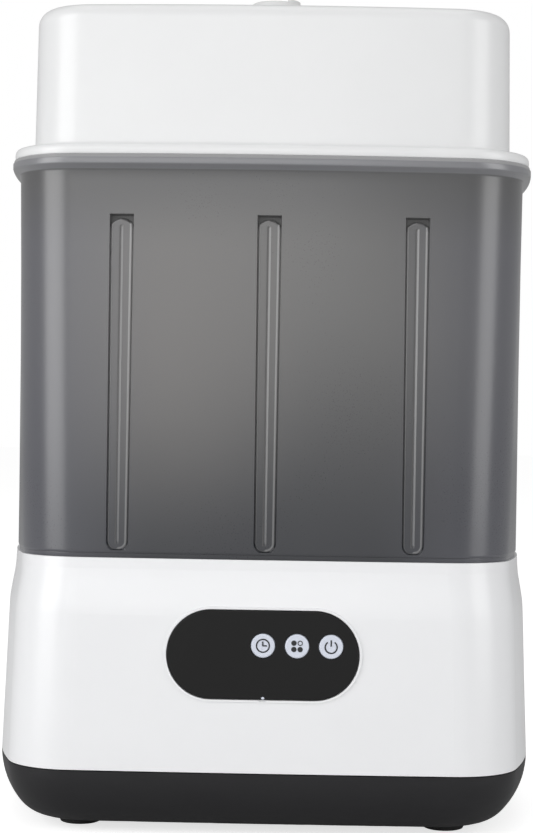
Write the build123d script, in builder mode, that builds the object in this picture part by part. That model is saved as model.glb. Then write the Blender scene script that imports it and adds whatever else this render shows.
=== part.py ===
from build123d import *
import os
from dataclasses import dataclass, replace
from math import acos, atan, cos, degrees, pi, radians, sin, sqrt

# Electric baby bottle sterilizer and dryer, in millimetres.
# +Z is up, the control panel faces -Y, and the origin is on the floor under the middle.

# Overall size and the stack of levels
WIDTH = 264.0
DEPTH = 212.0
FOOT_GAP = 4.0
COVER_HEIGHT = 26.7
HOUSING_HEIGHT = 98.1
SLEEVE_HEIGHT = 187.1
LID_HEIGHT = 72.6
KNOB_HEIGHT = 19.0

# Walls and clearances
HOUSING_WALL = 2.6
COVER_WALL = 2.6
SLEEVE_WALL = 2.4
LID_WALL = 2.4
SEAM_GAP = 0.5
FIT_GAP = 0.5
SLIDE_GAP = 0.3
SEAT_GAP = 0.2
SCREW_GAP = 0.05

# Plan outline radii: the front and back bulge little, the sides more
BASE_FRONT_R = 3700.0
SLEEVE_FRONT_R = 1900.0
RIM_FRONT_R = 1160.0
BASE_SIDE_R = 278.0
RIM_SIDE_R = 600.0
CORNER_R = 33.0
LID_CORNER_R = 30.0

# Bottom cover
BOWL_RUN = 21.5
BOWL_STEPS = 5
LAP_HEIGHT = 3.0
LAP_WALL = 1.2
POST_INSET = 36.0
POST_Y = 40.0
POST_R = 5.5
FOOT_INSET_X = 45.0
FOOT_INSET_Y = 40.0
FOOT_R = 10.0
FOOT_POCKET = 1.0
VENT_SLOTS = 9
VENT_PITCH = 6.0
VENT_LENGTH = 52.0
VENT_WIDTH = 2.6
VENT_INSET = 80.0
GLAND_INSET = 54.0
GLAND_DROP = 9.7
GLAND_R = 6.3
GLAND_FLANGE = 1.8
GLAND_BARREL_R = 4.8
GLAND_BORE_R = 3.4

# Base housing
HOUSING_DRAFT = 0.0384
SHOULDER_DROP = 26.0
SHOULDER_STEP = 2.2
SHOULDER_STEPS = 5
LIP_HEIGHT = 5.0
DECK = 3.0
LOCATE_HEIGHT = 7.0
LOCATE_WALL = 2.0

# Sleeve
SLEEVE_STEP = 0.6
SLEEVE_FLARE = 1.5
SLEEVE_NARROWING = 2.8
SLEEVE_FOOT = 2.2
RIM_OUT = 3.6
RIM_BAND = 4.5
RIM_SLOPE = 2.3
RIM_ROUND = 0.8

# Channels pressed into the sleeve's front and back
CHANNEL_INSET = 63.4
CHANNEL_TOP_DROP = 27.6
CHANNEL_BOTTOM_RISE = 3.0
CHANNEL_TOP_WIDTH = 11.3
CHANNEL_BOTTOM_WIDTH = 10.4
CHANNEL_DEPTH = 3.0
CHANNEL_PAD = 4.0
PAD_MARGIN = 2.0
BAR_GAP = 0.6
BAR_TOP_GAP = 1.9
BAR_ARCH = 2.4
BAR_HEIGHT = 2.0
BAR_TAPER = 22.0
RIDGE_WIDTH = 1.6
RIDGE_HEIGHT = 0.7

# Lid
LID_INSET = 12.2
LID_NARROWING = 2.4
LID_DRAFT = 0.9
LID_FLANGE_INSET = 1.0
LID_FLANGE = 5.2
LID_FLANGE_ROUND = 2.8
LID_TOP_ROUND = 7.5
LID_NECK_ROUND = 2.2
SKIRT_DEPTH = 6.3
SKIRT_WALL = 1.4
KNOB_R = 13.5
KNOB_BASE_R = 11.0
KNOB_BASE_HEIGHT = 6.0
KNOB_WALL = 1.8
KNOB_STEM_R = 8.0
KNOB_PORTS = 8
KNOB_TAB = 0.9

# Heating plate and what is under it
PLATE_FRONT_GAP = 20.0
PLATE_BLOWER_GAP = 12.0
PLATE_FLANGE = 8.0
PLATE_COVE = 6.0
PLATE_DEPTH = 13.0
PLATE_METAL = 0.8
SEAL = 1.6
RECESS = 3.0
ELEMENT_INSET = 4.0
ELEMENT_PLATE = 5.0
HEATER_INSET = 12.0
HEATER_TUBE_R = 4.0
HEATER_ARC = 300.0
TERMINAL_R = 2.2
TERMINAL_LENGTH = 12.0
STUDS = 3
STUD_R = 2.0
STUD_LENGTH = 9.0
NUT_ACROSS = 7.0
NUT_HEIGHT = 3.2
CLAMP_METAL = 1.5
CLAMP_LEG = 14.0
THERMOSTAT_R = 8.5
THERMOSTAT_HEIGHT = 7.0
THERMOSTAT_X = 18.0

# Control panel
PANEL_WIDTH = 88.7
PANEL_HEIGHT = 40.9
PANEL_DROP = 43.3
PANEL_LENS = 2.0
PANEL_LIP = 1.1
PANEL_PROUD = 0.5
PANEL_LEDGE = 4.0
PANEL_PAD = 5.5
NOTCH_WIDTH = 3.2
BUTTON_R = 5.5
BUTTON_RISE = 4.3
BUTTON_PITCH = 15.7
BUTTON_PROUD = 0.5
BUTTON_FLANGE_R = 6.8
BUTTON_FLANGE = 1.0
BUTTON_TRAVEL = 1.0
STEM_R = 1.8
BOARD_DEPTH = 11.0
BOARD = 1.6
BOARD_WIDTH = 104.0
BOARD_HEIGHT = 36.0
BOARD_POST_X = 47.5
BOARD_POST_Z = 13.0
BOARD_SCREW_R = 1.1
SWITCH_SIDE = 6.0
DISPLAY_WIDTH = 26.0
DISPLAY_HEIGHT = 15.0

# Power board
POWER_INSET_X = 86.0
POWER_INSET_Y = 66.0
POWER_WIDTH = 76.0
POWER_DEPTH = 62.0
POWER_STANDOFF = 11.0
TRANSFORMER = (22.0, 20.0, 19.0)
RELAY = (19.0, 15.5, 15.5)
CAPACITOR_R = 8.0
CAPACITOR_HEIGHT = 22.0
VARISTOR = (14.0, 5.0, 12.0)
TERMINALS = (10.0, 28.0, 11.0)

# Blower, its axis along Y
BLOWER_RISE = 21.3
SCROLL_R = 39.0
SCROLL_STEP = 2.6
SCROLL_WALL = 1.6
TONGUE_X = 13.0
NECK_TOP = 34.0
BLOWER_REAR_GAP = 16.5
BLOWER_DEPTH = 23.5
BLOWER_COVER = 2.0
INLET_R = 18.0
WHEEL_R = 25.0
WHEEL_EYE_R = 21.2
WHEEL_GAP = 2.4
BLADES = 24
BLADE = 0.8
SHAFT_R = 1.0
MOTOR_R = 13.0
MOTOR_LENGTH = 20.0

# Air heater and duct
HEATER_HEIGHT = 18.0
HEATER_WALL = 1.6
FINS = 7
FIN = 0.5
PTC_BAR = 2.4
OUTLET_INSET = 11.0
OUTLET_WIDTH = 60.0
OUTLET_DEPTH = 20.0
OUTLET_CAP_HEIGHT = 11.0
OUTLET_SLOTS = 11
DUCT_WALL = 1.4

# Filter at the back
FILTER_WIDTH = 70.0
FILTER_HEIGHT = 40.0
FILTER_BAY_RIM = 1.5
FILTER_PAD = 8.0
FILTER_RING = 1.4
LOUVRES = 6
LOUVRE_PITCH = 5.2
LOUVRE_HEIGHT = 2.4
LOUVRE_WIDTH = 54.0
PLEATS = 12

# Rack and tray
RACK_LEG = 14.7
RACK_FLOOR = 2.5
RACK_RIM = 14.0
RACK_WALL = 2.0
RACK_CLEARANCE = 2.6
PEG_HEIGHT = 52.0
PEG_FOOT_R = 12.0
PEG_TIP_R = 4.0
PEG_FIN = 2.6
PEG_INSET_X = 54.0
PEG_INSET_Y = 65.0
SLOT_LENGTH = 30.0
SLOT_WIDTH = 6.0
TRAY_FLANGE = 2.4
TRAY_DEPTH = 30.0
TRAY_WALL = 2.0
TRAY_RAIL = 6.0

# Places worked out from the overall size
POST_X = WIDTH / 2 - POST_INSET
FOOT_X = WIDTH / 2 - FOOT_INSET_X
FOOT_Y = DEPTH / 2 - FOOT_INSET_Y
VENT_X = WIDTH / 2 - VENT_INSET
GLAND_X = WIDTH / 2 - GLAND_INSET
CHANNEL_PITCH = WIDTH / 2 - CHANNEL_INSET
BLOWER_REAR_Y = DEPTH / 2 - BLOWER_REAR_GAP
BLOWER_FRONT_Y = BLOWER_REAR_Y - BLOWER_DEPTH
OUTLET_Y = BLOWER_REAR_Y - OUTLET_INSET
PLATE_FLANGE_R = (BLOWER_FRONT_Y - PLATE_BLOWER_GAP + DEPTH / 2 - PLATE_FRONT_GAP) / 2
PLATE_Y = BLOWER_FRONT_Y - PLATE_BLOWER_GAP - PLATE_FLANGE_R
PLATE_WALL_R = PLATE_FLANGE_R - PLATE_FLANGE
PLATE_FLOOR_R = PLATE_WALL_R - PLATE_COVE
ELEMENT_R = PLATE_FLOOR_R - ELEMENT_INSET
HEATER_R = ELEMENT_R - HEATER_INSET
POWER_X = POWER_INSET_X - WIDTH / 2
POWER_Y = POWER_INSET_Y - DEPTH / 2
PEG_PITCH_X = WIDTH / 2 - PEG_INSET_X
PEG_PITCH_Y = DEPTH - 2 * PEG_INSET_Y

# Heights worked out from the stack
SEAM_Z = FOOT_GAP + COVER_HEIGHT
FLOOR_Z = FOOT_GAP + COVER_WALL
DECK_Z = SEAM_Z + HOUSING_HEIGHT
RIM_Z = DECK_Z + SLEEVE_HEIGHT
LID_Z = RIM_Z + LID_HEIGHT
KNOB_Z = LID_Z + KNOB_HEIGHT
DECK_UNDER_Z = DECK_Z - DECK
CHANNEL_TOP_Z = RIM_Z - CHANNEL_TOP_DROP
CHANNEL_BOTTOM_Z = DECK_Z + CHANNEL_BOTTOM_RISE
LEDGE_Z = CHANNEL_TOP_Z + PAD_MARGIN
BLOWER_Z = SEAM_Z + BLOWER_RISE
NECK_Z = BLOWER_Z + NECK_TOP
BLOWER_X = -(TONGUE_X + SCROLL_R) / 2
BLOWER_BACK_Y = BLOWER_REAR_Y + BLOWER_COVER
PANEL_Z = DECK_Z - PANEL_DROP
FILTER_Z = BLOWER_Z + 4.0
OVERCUT = 4.0


def mix(low, high, share):
    """Return the value that lies this share of the way from low to high."""
    return low + (high - low) * share


def sagitta(radius, distance):
    """Return how far an arc falls back at this distance from its middle."""
    return radius - sqrt(radius**2 - distance**2)


@dataclass(frozen=True)
class Level:
    """The body's plan outline at one height, measured inwards from the widest one."""

    z: float
    inset: float
    front_r: float
    side_r: float
    corner_r: float
    narrowing: float = 0.0

    def inward(self, amount):
        """Return the outline that lies this much inside, all round."""
        return replace(
            self,
            inset=self.inset + amount,
            front_r=self.front_r - amount,
            side_r=self.side_r - amount,
            corner_r=self.corner_r - amount,
        )

    def at(self, z):
        """Return the same outline at another height."""
        return replace(self, z=z)

    @property
    def half_width(self):
        """Half of the outline's width at the middle of its depth."""
        return WIDTH / 2 - self.inset - self.narrowing

    @property
    def half_depth(self):
        """Half of the outline's depth at the middle of its width."""
        return DEPTH / 2 - self.inset

    def face(self):
        """Return the outline as a face: four bulged sides and four rounded corners."""
        corner_x = self.half_width
        corner_y = self.half_depth
        for _ in range(12):
            corner_x = self.half_width - sagitta(self.side_r, corner_y)
            corner_y = self.half_depth - sagitta(self.front_r, corner_x)
        with BuildSketch() as sketch:
            with BuildLine():
                ThreePointArc((-corner_x, -corner_y), (0, -self.half_depth), (corner_x, -corner_y))
                ThreePointArc((corner_x, -corner_y), (self.half_width, 0), (corner_x, corner_y))
                ThreePointArc((corner_x, corner_y), (0, self.half_depth), (-corner_x, corner_y))
                ThreePointArc((-corner_x, corner_y), (-self.half_width, 0), (-corner_x, -corner_y))
            make_face()
            fillet(sketch.vertices(), self.corner_r)
        return sketch.sketch


def body_through(levels, ruled=False):
    """Return the solid that is lofted through these outlines, lowest first."""
    with BuildPart() as body:
        for level in levels:
            with BuildSketch(Plane.XY.offset(level.z)):
                add(level.face())
        loft(ruled=ruled)
    return body.part


def wall_ring(level, thickness, height):
    """Return an upright ring whose outside is this outline."""
    with BuildPart() as ring:
        with BuildSketch(Plane.XY.offset(level.z)):
            add(level.face())
            add(level.inward(thickness).face(), mode=Mode.SUBTRACT)
        extrude(amount=height)
    return ring.part


def bowl_levels(wall):
    """Return the bottom cover's outlines, an elliptical bowl this far inside the outer one."""
    levels = []
    for step in range(BOWL_STEPS + 1):
        angle = pi / 2 * (BOWL_STEPS - step) / BOWL_STEPS
        inset = BOWL_RUN * (1 - cos(angle))
        z = SEAM_Z - (COVER_HEIGHT - wall) * sin(angle)
        levels.append(
            Level(z, inset, BASE_FRONT_R, BASE_SIDE_R - inset, CORNER_R - inset / 2).inward(wall)
        )
    return levels


def housing_level(z):
    """Return the housing's outline at this height: a steady draft and a soft shoulder."""
    shoulder_z = DECK_Z - SHOULDER_DROP
    share = (z - shoulder_z) / (SHOULDER_DROP - LIP_HEIGHT)
    share = min(1.0, max(0.0, share))
    step = share * share * (3 - 2 * share)
    inset = HOUSING_DRAFT * (z - SEAM_Z) + SHOULDER_STEP * step
    return Level(z, inset, BASE_FRONT_R, BASE_SIDE_R, CORNER_R)


def housing_solid(inside, top_z):
    """Return the housing's form from its lower edge to top_z, this far inside its skin."""
    foot_z = SEAM_Z + SEAM_GAP
    shoulder_z = DECK_Z - SHOULDER_DROP
    lip_z = DECK_Z - LIP_HEIGHT
    bend_heights = [mix(shoulder_z, lip_z, step / SHOULDER_STEPS) for step in range(SHOULDER_STEPS + 1)]
    with BuildPart() as body:
        add(body_through([housing_level(z).inward(inside) for z in (foot_z, shoulder_z)], ruled=True))
        add(body_through([housing_level(z).inward(inside) for z in bend_heights]))
        add(body_through([housing_level(z).inward(inside) for z in (lip_z, top_z)], ruled=True))
    return body.part


def sleeve_level(z):
    """Return the sleeve's outer outline at this height, flaring and squaring up to the rim."""
    share = (z - DECK_Z) / SLEEVE_HEIGHT
    bottom = housing_level(DECK_Z).inset + SLEEVE_STEP
    front_curve = mix(1 / SLEEVE_FRONT_R, 1 / RIM_FRONT_R, share)
    side_curve = mix(1 / BASE_SIDE_R, 1 / RIM_SIDE_R, share)
    inset = bottom - SLEEVE_FLARE * share
    return Level(z, inset, 1 / front_curve, 1 / side_curve, CORNER_R, SLEEVE_NARROWING * share)


def front_facing(x, y, z):
    """Return an upright plane whose normal points to the front."""
    return Plane(origin=(x, y, z), x_dir=(1, 0, 0), z_dir=(0, -1, 0))


def save(piece, name):
    """Name a finished piece and write it."""
    piece.part.label = name
    export_step(piece.part, f"parts/{name}.step")


os.makedirs("parts", exist_ok=True)


# Bottom cover: a black bowl with screw bosses, standoffs, vents and the gland's pocket
post_places = [(x, y) for x in (-POST_X, POST_X) for y in (-POST_Y, POST_Y)]
foot_places = [(x, y) for x in (-FOOT_X, FOOT_X) for y in (-FOOT_Y, FOOT_Y)]
power_place = (POWER_X, POWER_Y)
power_hole_pitch = (POWER_WIDTH - 8, POWER_DEPTH - 8)
screw_r = 2.0
screw_head_r = 3.8
screw_head = 2.4
counterbore = 4.0
gland_z = SEAM_Z - GLAND_DROP
gland_seat_y = DEPTH / 2 - 4.5

cover_body = body_through(bowl_levels(0))
with BuildPart() as gland_pad:
    with BuildSketch(front_facing(GLAND_X, gland_seat_y, gland_z)):
        Circle(GLAND_R + 2.5)
    extrude(amount=COVER_WALL + 3)
    add(cover_body, mode=Mode.INTERSECT)

with BuildPart() as bottom_cover:
    add(cover_body)
    add(body_through(bowl_levels(COVER_WALL)), mode=Mode.SUBTRACT)
    lap = housing_level(SEAM_Z).inward(HOUSING_WALL + SLIDE_GAP)
    add(wall_ring(lap.at(SEAM_Z - LAP_HEIGHT), LAP_WALL, 2 * LAP_HEIGHT))
    with BuildSketch(Plane.XY.offset(FLOOR_Z - COVER_WALL / 2)):
        with Locations(*post_places):
            Circle(POST_R)
    extrude(amount=SEAM_Z - FLOOR_Z + COVER_WALL / 2)
    with BuildSketch(Plane.XY.offset(FLOOR_Z)):
        with Locations(power_place):
            with GridLocations(*power_hole_pitch, 2, 2):
                Circle(3.5)
    extrude(amount=POWER_STANDOFF)
    with BuildSketch(Plane.XY.offset(FLOOR_Z)):
        with Locations(power_place):
            with GridLocations(*power_hole_pitch, 2, 2):
                Circle(BOARD_SCREW_R + SCREW_GAP)
    extrude(amount=POWER_STANDOFF, mode=Mode.SUBTRACT)
    add(gland_pad.part)
    with BuildSketch(Plane.XY.offset(FOOT_GAP)):
        with Locations(*post_places):
            Circle(screw_r + SLIDE_GAP)
    extrude(amount=COVER_HEIGHT, mode=Mode.SUBTRACT)
    with BuildSketch(Plane.XY.offset(FOOT_GAP)):
        with Locations(*post_places):
            Circle(screw_head_r + SLIDE_GAP)
    extrude(amount=counterbore, mode=Mode.SUBTRACT)
    with BuildSketch(Plane.XY.offset(FOOT_GAP)):
        with Locations(*foot_places):
            Circle(FOOT_R + SLIDE_GAP)
    extrude(amount=FOOT_POCKET, mode=Mode.SUBTRACT)
    with BuildSketch(Plane.XY.offset(FOOT_GAP)):
        with Locations((VENT_X, 0)):
            with GridLocations(0, VENT_PITCH, 1, VENT_SLOTS):
                Rectangle(VENT_LENGTH, VENT_WIDTH)
    extrude(amount=2 * COVER_WALL, mode=Mode.SUBTRACT)
    with BuildSketch(front_facing(GLAND_X, gland_seat_y, gland_z)):
        Circle(GLAND_R + FIT_GAP)
    extrude(amount=-OVERCUT * 2, mode=Mode.SUBTRACT)
    with BuildSketch(front_facing(GLAND_X, gland_seat_y, gland_z)):
        Circle(GLAND_BARREL_R + SCREW_GAP)
    extrude(amount=4 * COVER_WALL, mode=Mode.SUBTRACT)
save(bottom_cover, "bottom_cover")

with BuildPart() as cord_gland:
    with BuildSketch(front_facing(GLAND_X, gland_seat_y, gland_z)):
        Circle(GLAND_R)
    extrude(amount=-GLAND_FLANGE)
    fillet(cord_gland.edges().group_by(Axis.Y)[-1], GLAND_FLANGE / 3)
    with BuildSketch(front_facing(GLAND_X, gland_seat_y, gland_z)):
        Circle(GLAND_BARREL_R)
    extrude(amount=COVER_WALL + 6)
    with BuildSketch(front_facing(GLAND_X, gland_seat_y + GLAND_FLANGE, gland_z)):
        Circle(GLAND_BORE_R)
    extrude(amount=COVER_WALL + 6 + GLAND_FLANGE, mode=Mode.SUBTRACT)
save(cord_gland, "cord_gland")

with BuildPart() as feet:
    with BuildSketch(Plane.XY.offset(FOOT_GAP + FOOT_POCKET)):
        with Locations(*foot_places):
            Circle(FOOT_R)
    extrude(amount=-(FOOT_GAP + FOOT_POCKET), taper=4)
    chamfer(feet.edges().group_by(Axis.Z)[0], 0.6)
save(feet, "feet")

with BuildPart() as housing_screws:
    with BuildSketch(Plane.XY.offset(FOOT_GAP + counterbore)):
        with Locations(*post_places):
            Circle(screw_r)
    extrude(amount=SEAM_Z - FOOT_GAP + 6)
    with BuildSketch(Plane.XY.offset(FOOT_GAP + counterbore)):
        with Locations(*post_places):
            Circle(screw_head_r)
    extrude(amount=-screw_head)
save(housing_screws, "housing_screws")


# Base housing: drafted white shell with a deck, a locating wall, the panel's seat and the filter bay
panel_tilt = atan(HOUSING_DRAFT)
panel_plane = Plane(
    origin=(0, -housing_level(PANEL_Z).half_depth, PANEL_Z),
    x_dir=(1, 0, 0),
    z_dir=(0, -cos(panel_tilt), sin(panel_tilt)),
)
locate_level = sleeve_level(DECK_Z).inward(SLEEVE_WALL + FIT_GAP)
channel_places = [CHANNEL_PITCH * step for step in (-1, 0, 1)]
notch_width = CHANNEL_BOTTOM_WIDTH + 2 * PAD_MARGIN + 2 * FIT_GAP + 1
board_post_places = [(x, z) for x in (-BOARD_POST_X, BOARD_POST_X) for z in (-BOARD_POST_Z, BOARD_POST_Z)]
recess_z = DECK_Z - RECESS
plate_top_z = recess_z + SEAL + PLATE_METAL
plate_boss = 3.0
bay_inner_width = FILTER_WIDTH - 2 * FILTER_BAY_RIM
bay_inner_height = FILTER_HEIGHT - 2 * FILTER_BAY_RIM
bay_wall = 2.0


def filter_plug(margin, thickness):
    """Return the piece of the housing's skin inside the filter opening, less a margin."""
    with BuildPart() as plug:
        add(housing_skin_outer)
        add(housing_solid(thickness, DECK_Z), mode=Mode.SUBTRACT)
        with BuildSketch(front_facing(BLOWER_X, DEPTH / 2 + OVERCUT, FILTER_Z)):
            Rectangle(FILTER_WIDTH - 2 * margin, FILTER_HEIGHT - 2 * margin)
        extrude(amount=DEPTH / 4, mode=Mode.INTERSECT)
    return plug.part


housing_skin_outer = housing_solid(0, DECK_Z)
with BuildPart() as filter_bay:
    with BuildSketch(front_facing(BLOWER_X, BLOWER_BACK_Y, FILTER_Z)):
        Rectangle(FILTER_WIDTH + 2 * bay_wall, FILTER_HEIGHT + 2 * bay_wall)
    extrude(amount=-DEPTH / 4)
    add(housing_solid(HOUSING_WALL / 2, DECK_Z), mode=Mode.INTERSECT)
    with BuildSketch(front_facing(BLOWER_X, BLOWER_BACK_Y + bay_wall, FILTER_Z)):
        Rectangle(bay_inner_width, bay_inner_height)
    extrude(amount=-DEPTH / 4, mode=Mode.SUBTRACT)
    with BuildSketch(front_facing(BLOWER_X, BLOWER_BACK_Y, BLOWER_Z)):
        Circle(INLET_R)
    extrude(amount=-bay_wall, mode=Mode.SUBTRACT)

with BuildPart() as base_housing:
    add(housing_skin_outer)
    add(housing_solid(HOUSING_WALL, DECK_UNDER_Z), mode=Mode.SUBTRACT)
    add(wall_ring(locate_level, LOCATE_WALL, LOCATE_HEIGHT))
    with BuildSketch(Plane.XY.offset(DECK_Z)):
        with Locations(*[(x, 0) for x in channel_places]):
            Rectangle(notch_width, DEPTH)
    extrude(amount=LOCATE_HEIGHT + OVERCUT, mode=Mode.SUBTRACT)
    with BuildSketch(Plane.XY.offset(DECK_UNDER_Z)):
        with Locations((0, PLATE_Y)):
            Circle(PLATE_FLANGE_R + 6)
    extrude(amount=-plate_boss)
    with BuildSketch(Plane.XY.offset(DECK_UNDER_Z)):
        with Locations(*post_places):
            Circle(POST_R)
    extrude(amount=SEAM_Z - DECK_UNDER_Z)
    with BuildSketch(Plane.XY.offset(SEAM_Z)):
        with Locations(*post_places):
            Circle(screw_r + SCREW_GAP)
    extrude(amount=16, mode=Mode.SUBTRACT)
    with BuildSketch(Plane.XY.offset(recess_z)):
        with Locations((0, PLATE_Y)):
            Circle(PLATE_FLANGE_R + 1)
    extrude(amount=RECESS, mode=Mode.SUBTRACT)
    with BuildSketch(Plane.XY.offset(DECK_UNDER_Z - plate_boss)):
        with Locations((0, PLATE_Y)):
            Circle(PLATE_WALL_R + 2)
    extrude(amount=DECK + plate_boss, mode=Mode.SUBTRACT)
    with BuildSketch(Plane.XY.offset(DECK_UNDER_Z)):
        with Locations((0, OUTLET_Y)):
            Rectangle(OUTLET_WIDTH, OUTLET_DEPTH)
    extrude(amount=DECK, mode=Mode.SUBTRACT)
    with BuildSketch(panel_plane.offset(-HOUSING_WALL / 2)):
        Rectangle(BOARD_WIDTH + 4, PANEL_HEIGHT + 10)
    extrude(amount=HOUSING_WALL / 2 - PANEL_PAD)
    with BuildSketch(panel_plane.offset(-HOUSING_WALL / 2)):
        SlotOverall(PANEL_WIDTH + 2 * (SLIDE_GAP + PANEL_LIP), PANEL_HEIGHT + 2 * (SLIDE_GAP + PANEL_LIP))
    extrude(amount=HOUSING_WALL / 2 + PANEL_PROUD)
    with BuildSketch(panel_plane.offset(-PANEL_LENS)):
        SlotOverall(PANEL_WIDTH + 2 * SLIDE_GAP, PANEL_HEIGHT + 2 * SLIDE_GAP)
    extrude(amount=PANEL_LENS + OVERCUT, mode=Mode.SUBTRACT)
    with BuildSketch(panel_plane.offset(-PANEL_PAD)):
        SlotOverall(PANEL_WIDTH - 2 * PANEL_LEDGE, PANEL_HEIGHT - 2 * PANEL_LEDGE)
    extrude(amount=PANEL_PAD, mode=Mode.SUBTRACT)
    with BuildSketch(panel_plane.offset(-PANEL_PROUD)):
        with Locations((0, -PANEL_HEIGHT / 2 - SLIDE_GAP)):
            Rectangle(NOTCH_WIDTH, PANEL_LIP)
    extrude(amount=OVERCUT, mode=Mode.SUBTRACT)
    with BuildSketch(panel_plane.offset(-PANEL_PAD)):
        with Locations(*board_post_places):
            Circle(3.2)
    extrude(amount=PANEL_PAD - BOARD_DEPTH)
    with BuildSketch(panel_plane.offset(-BOARD_DEPTH)):
        with Locations(*board_post_places):
            Circle(BOARD_SCREW_R + SCREW_GAP)
    extrude(amount=BOARD_DEPTH - PANEL_PAD, mode=Mode.SUBTRACT)
    add(filter_bay.part)
    add(filter_plug(0, HOUSING_WALL), mode=Mode.SUBTRACT)
save(base_housing, "base_housing")


# Filter cover: the louvred piece of the skin, with a ring behind it that holds the pleated pad
cover_thickness = HOUSING_WALL - 0.2
ring_width = bay_inner_width - 2 * FIT_GAP
ring_height = bay_inner_height - 2 * FIT_GAP
filter_face_y = DEPTH / 2 - housing_level(FILTER_Z + FILTER_HEIGHT / 2).inset - cover_thickness
pad_front_y = filter_face_y - FILTER_PAD

with BuildPart() as filter_ring:
    with BuildSketch(front_facing(BLOWER_X, pad_front_y, FILTER_Z)):
        Rectangle(ring_width, ring_height)
        Rectangle(ring_width - 2 * FILTER_RING, ring_height - 2 * FILTER_RING, mode=Mode.SUBTRACT)
    extrude(amount=-DEPTH / 8)
    add(housing_solid(cover_thickness / 2, DECK_Z), mode=Mode.INTERSECT)

with BuildPart() as filter_cover:
    add(filter_plug(SLIDE_GAP, cover_thickness))
    add(filter_ring.part)
    with BuildSketch(front_facing(BLOWER_X, filter_face_y - FILTER_PAD, FILTER_Z)):
        with GridLocations(0, LOUVRE_PITCH, 1, LOUVRES):
            Rectangle(LOUVRE_WIDTH, LOUVRE_HEIGHT)
    extrude(amount=-DEPTH / 4, mode=Mode.SUBTRACT)
save(filter_cover, "filter_cover")

pad_width = ring_width - 2 * FILTER_RING - SLIDE_GAP
pad_height = ring_height - 2 * FILTER_RING - SLIDE_GAP
pleat = pad_width / PLEATS
with BuildPart() as filter_pad:
    with BuildSketch(Plane.XY.offset(FILTER_Z - pad_height / 2)):
        with BuildLine(Plane.XY):
            front = [
                (BLOWER_X - pad_width / 2 + pleat * step / 2, pad_front_y + (FILTER_PAD - 1.8) * (step % 2))
                for step in range(2 * PLEATS + 1)
            ]
            back = [(x, y + 1.5) for x, y in reversed(front)]
            Polyline(*front, *back, close=True)
        make_face()
    extrude(amount=pad_height)
save(filter_pad, "filter_pad")


# Heating plate: pressed dish, its seal, the cast element, clamp, nuts and thermostats
plate_floor_z = plate_top_z - PLATE_DEPTH - PLATE_METAL
element_z = plate_floor_z - ELEMENT_PLATE
plate_side = front_facing(0, PLATE_Y, 0)
plate_axis = Axis((0, PLATE_Y, 0), (0, 0, 1))

with BuildPart() as heating_plate:
    with BuildSketch(plate_side):
        with BuildLine():
            Polyline(
                (0, plate_floor_z),
                (PLATE_FLOOR_R, plate_floor_z),
                (PLATE_WALL_R, plate_top_z - PLATE_METAL),
                (PLATE_FLANGE_R, plate_top_z - PLATE_METAL),
                (PLATE_FLANGE_R, plate_top_z),
                (PLATE_WALL_R - PLATE_METAL, plate_top_z),
                (PLATE_FLOOR_R - PLATE_METAL, plate_floor_z + PLATE_METAL),
                (0, plate_floor_z + PLATE_METAL),
                close=True,
            )
        make_face()
    revolve(axis=plate_axis)
    floor_bends = heating_plate.edges().filter_by(GeomType.CIRCLE)
    fillet(floor_bends.filter_by_position(Axis.Z, plate_floor_z - 0.1, plate_floor_z + 0.1), 4.0)
save(heating_plate, "heating_plate")

with BuildPart() as plate_seal:
    with BuildSketch(Plane.XY.offset(recess_z)):
        with Locations((0, PLATE_Y)):
            Circle(PLATE_FLANGE_R + 1 - SLIDE_GAP)
            Circle(PLATE_WALL_R + 2 + SLIDE_GAP, mode=Mode.SUBTRACT)
    extrude(amount=SEAL)
    with BuildSketch(Plane.XY.offset(recess_z + SEAL)):
        with Locations((0, PLATE_Y)):
            Circle(PLATE_FLANGE_R + 1 - SLIDE_GAP)
            Circle(PLATE_FLANGE_R + SCREW_GAP, mode=Mode.SUBTRACT)
    extrude(amount=PLATE_METAL)
save(plate_seal, "plate_seal")

stud_ring_r = (ELEMENT_R + HEATER_R + HEATER_TUBE_R) / 2
tube_z = element_z - HEATER_TUBE_R / 2
with BuildPart() as steam_element:
    with BuildSketch(Plane.XY.offset(element_z)):
        with Locations((0, PLATE_Y)):
            Circle(ELEMENT_R)
    extrude(amount=ELEMENT_PLATE)
    chamfer(steam_element.edges().group_by(Axis.Z)[0], 1.2)
    with BuildSketch(plate_side):
        with Locations((HEATER_R, tube_z)):
            Circle(HEATER_TUBE_R)
    revolve(axis=plate_axis, revolution_arc=HEATER_ARC)
    with BuildSketch(Plane.XY.offset(tube_z)):
        with Locations((0, PLATE_Y)):
            with PolarLocations(HEATER_R, 2, start_angle=2, angular_range=HEATER_ARC - 4, endpoint=True):
                Circle(TERMINAL_R)
    extrude(amount=-HEATER_TUBE_R - TERMINAL_LENGTH)
    with BuildSketch(Plane.XY.offset(element_z)):
        with Locations((0, PLATE_Y)):
            with PolarLocations(stud_ring_r, STUDS, start_angle=90):
                Circle(STUD_R)
    extrude(amount=-STUD_LENGTH)
save(steam_element, "steam_element")

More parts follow.
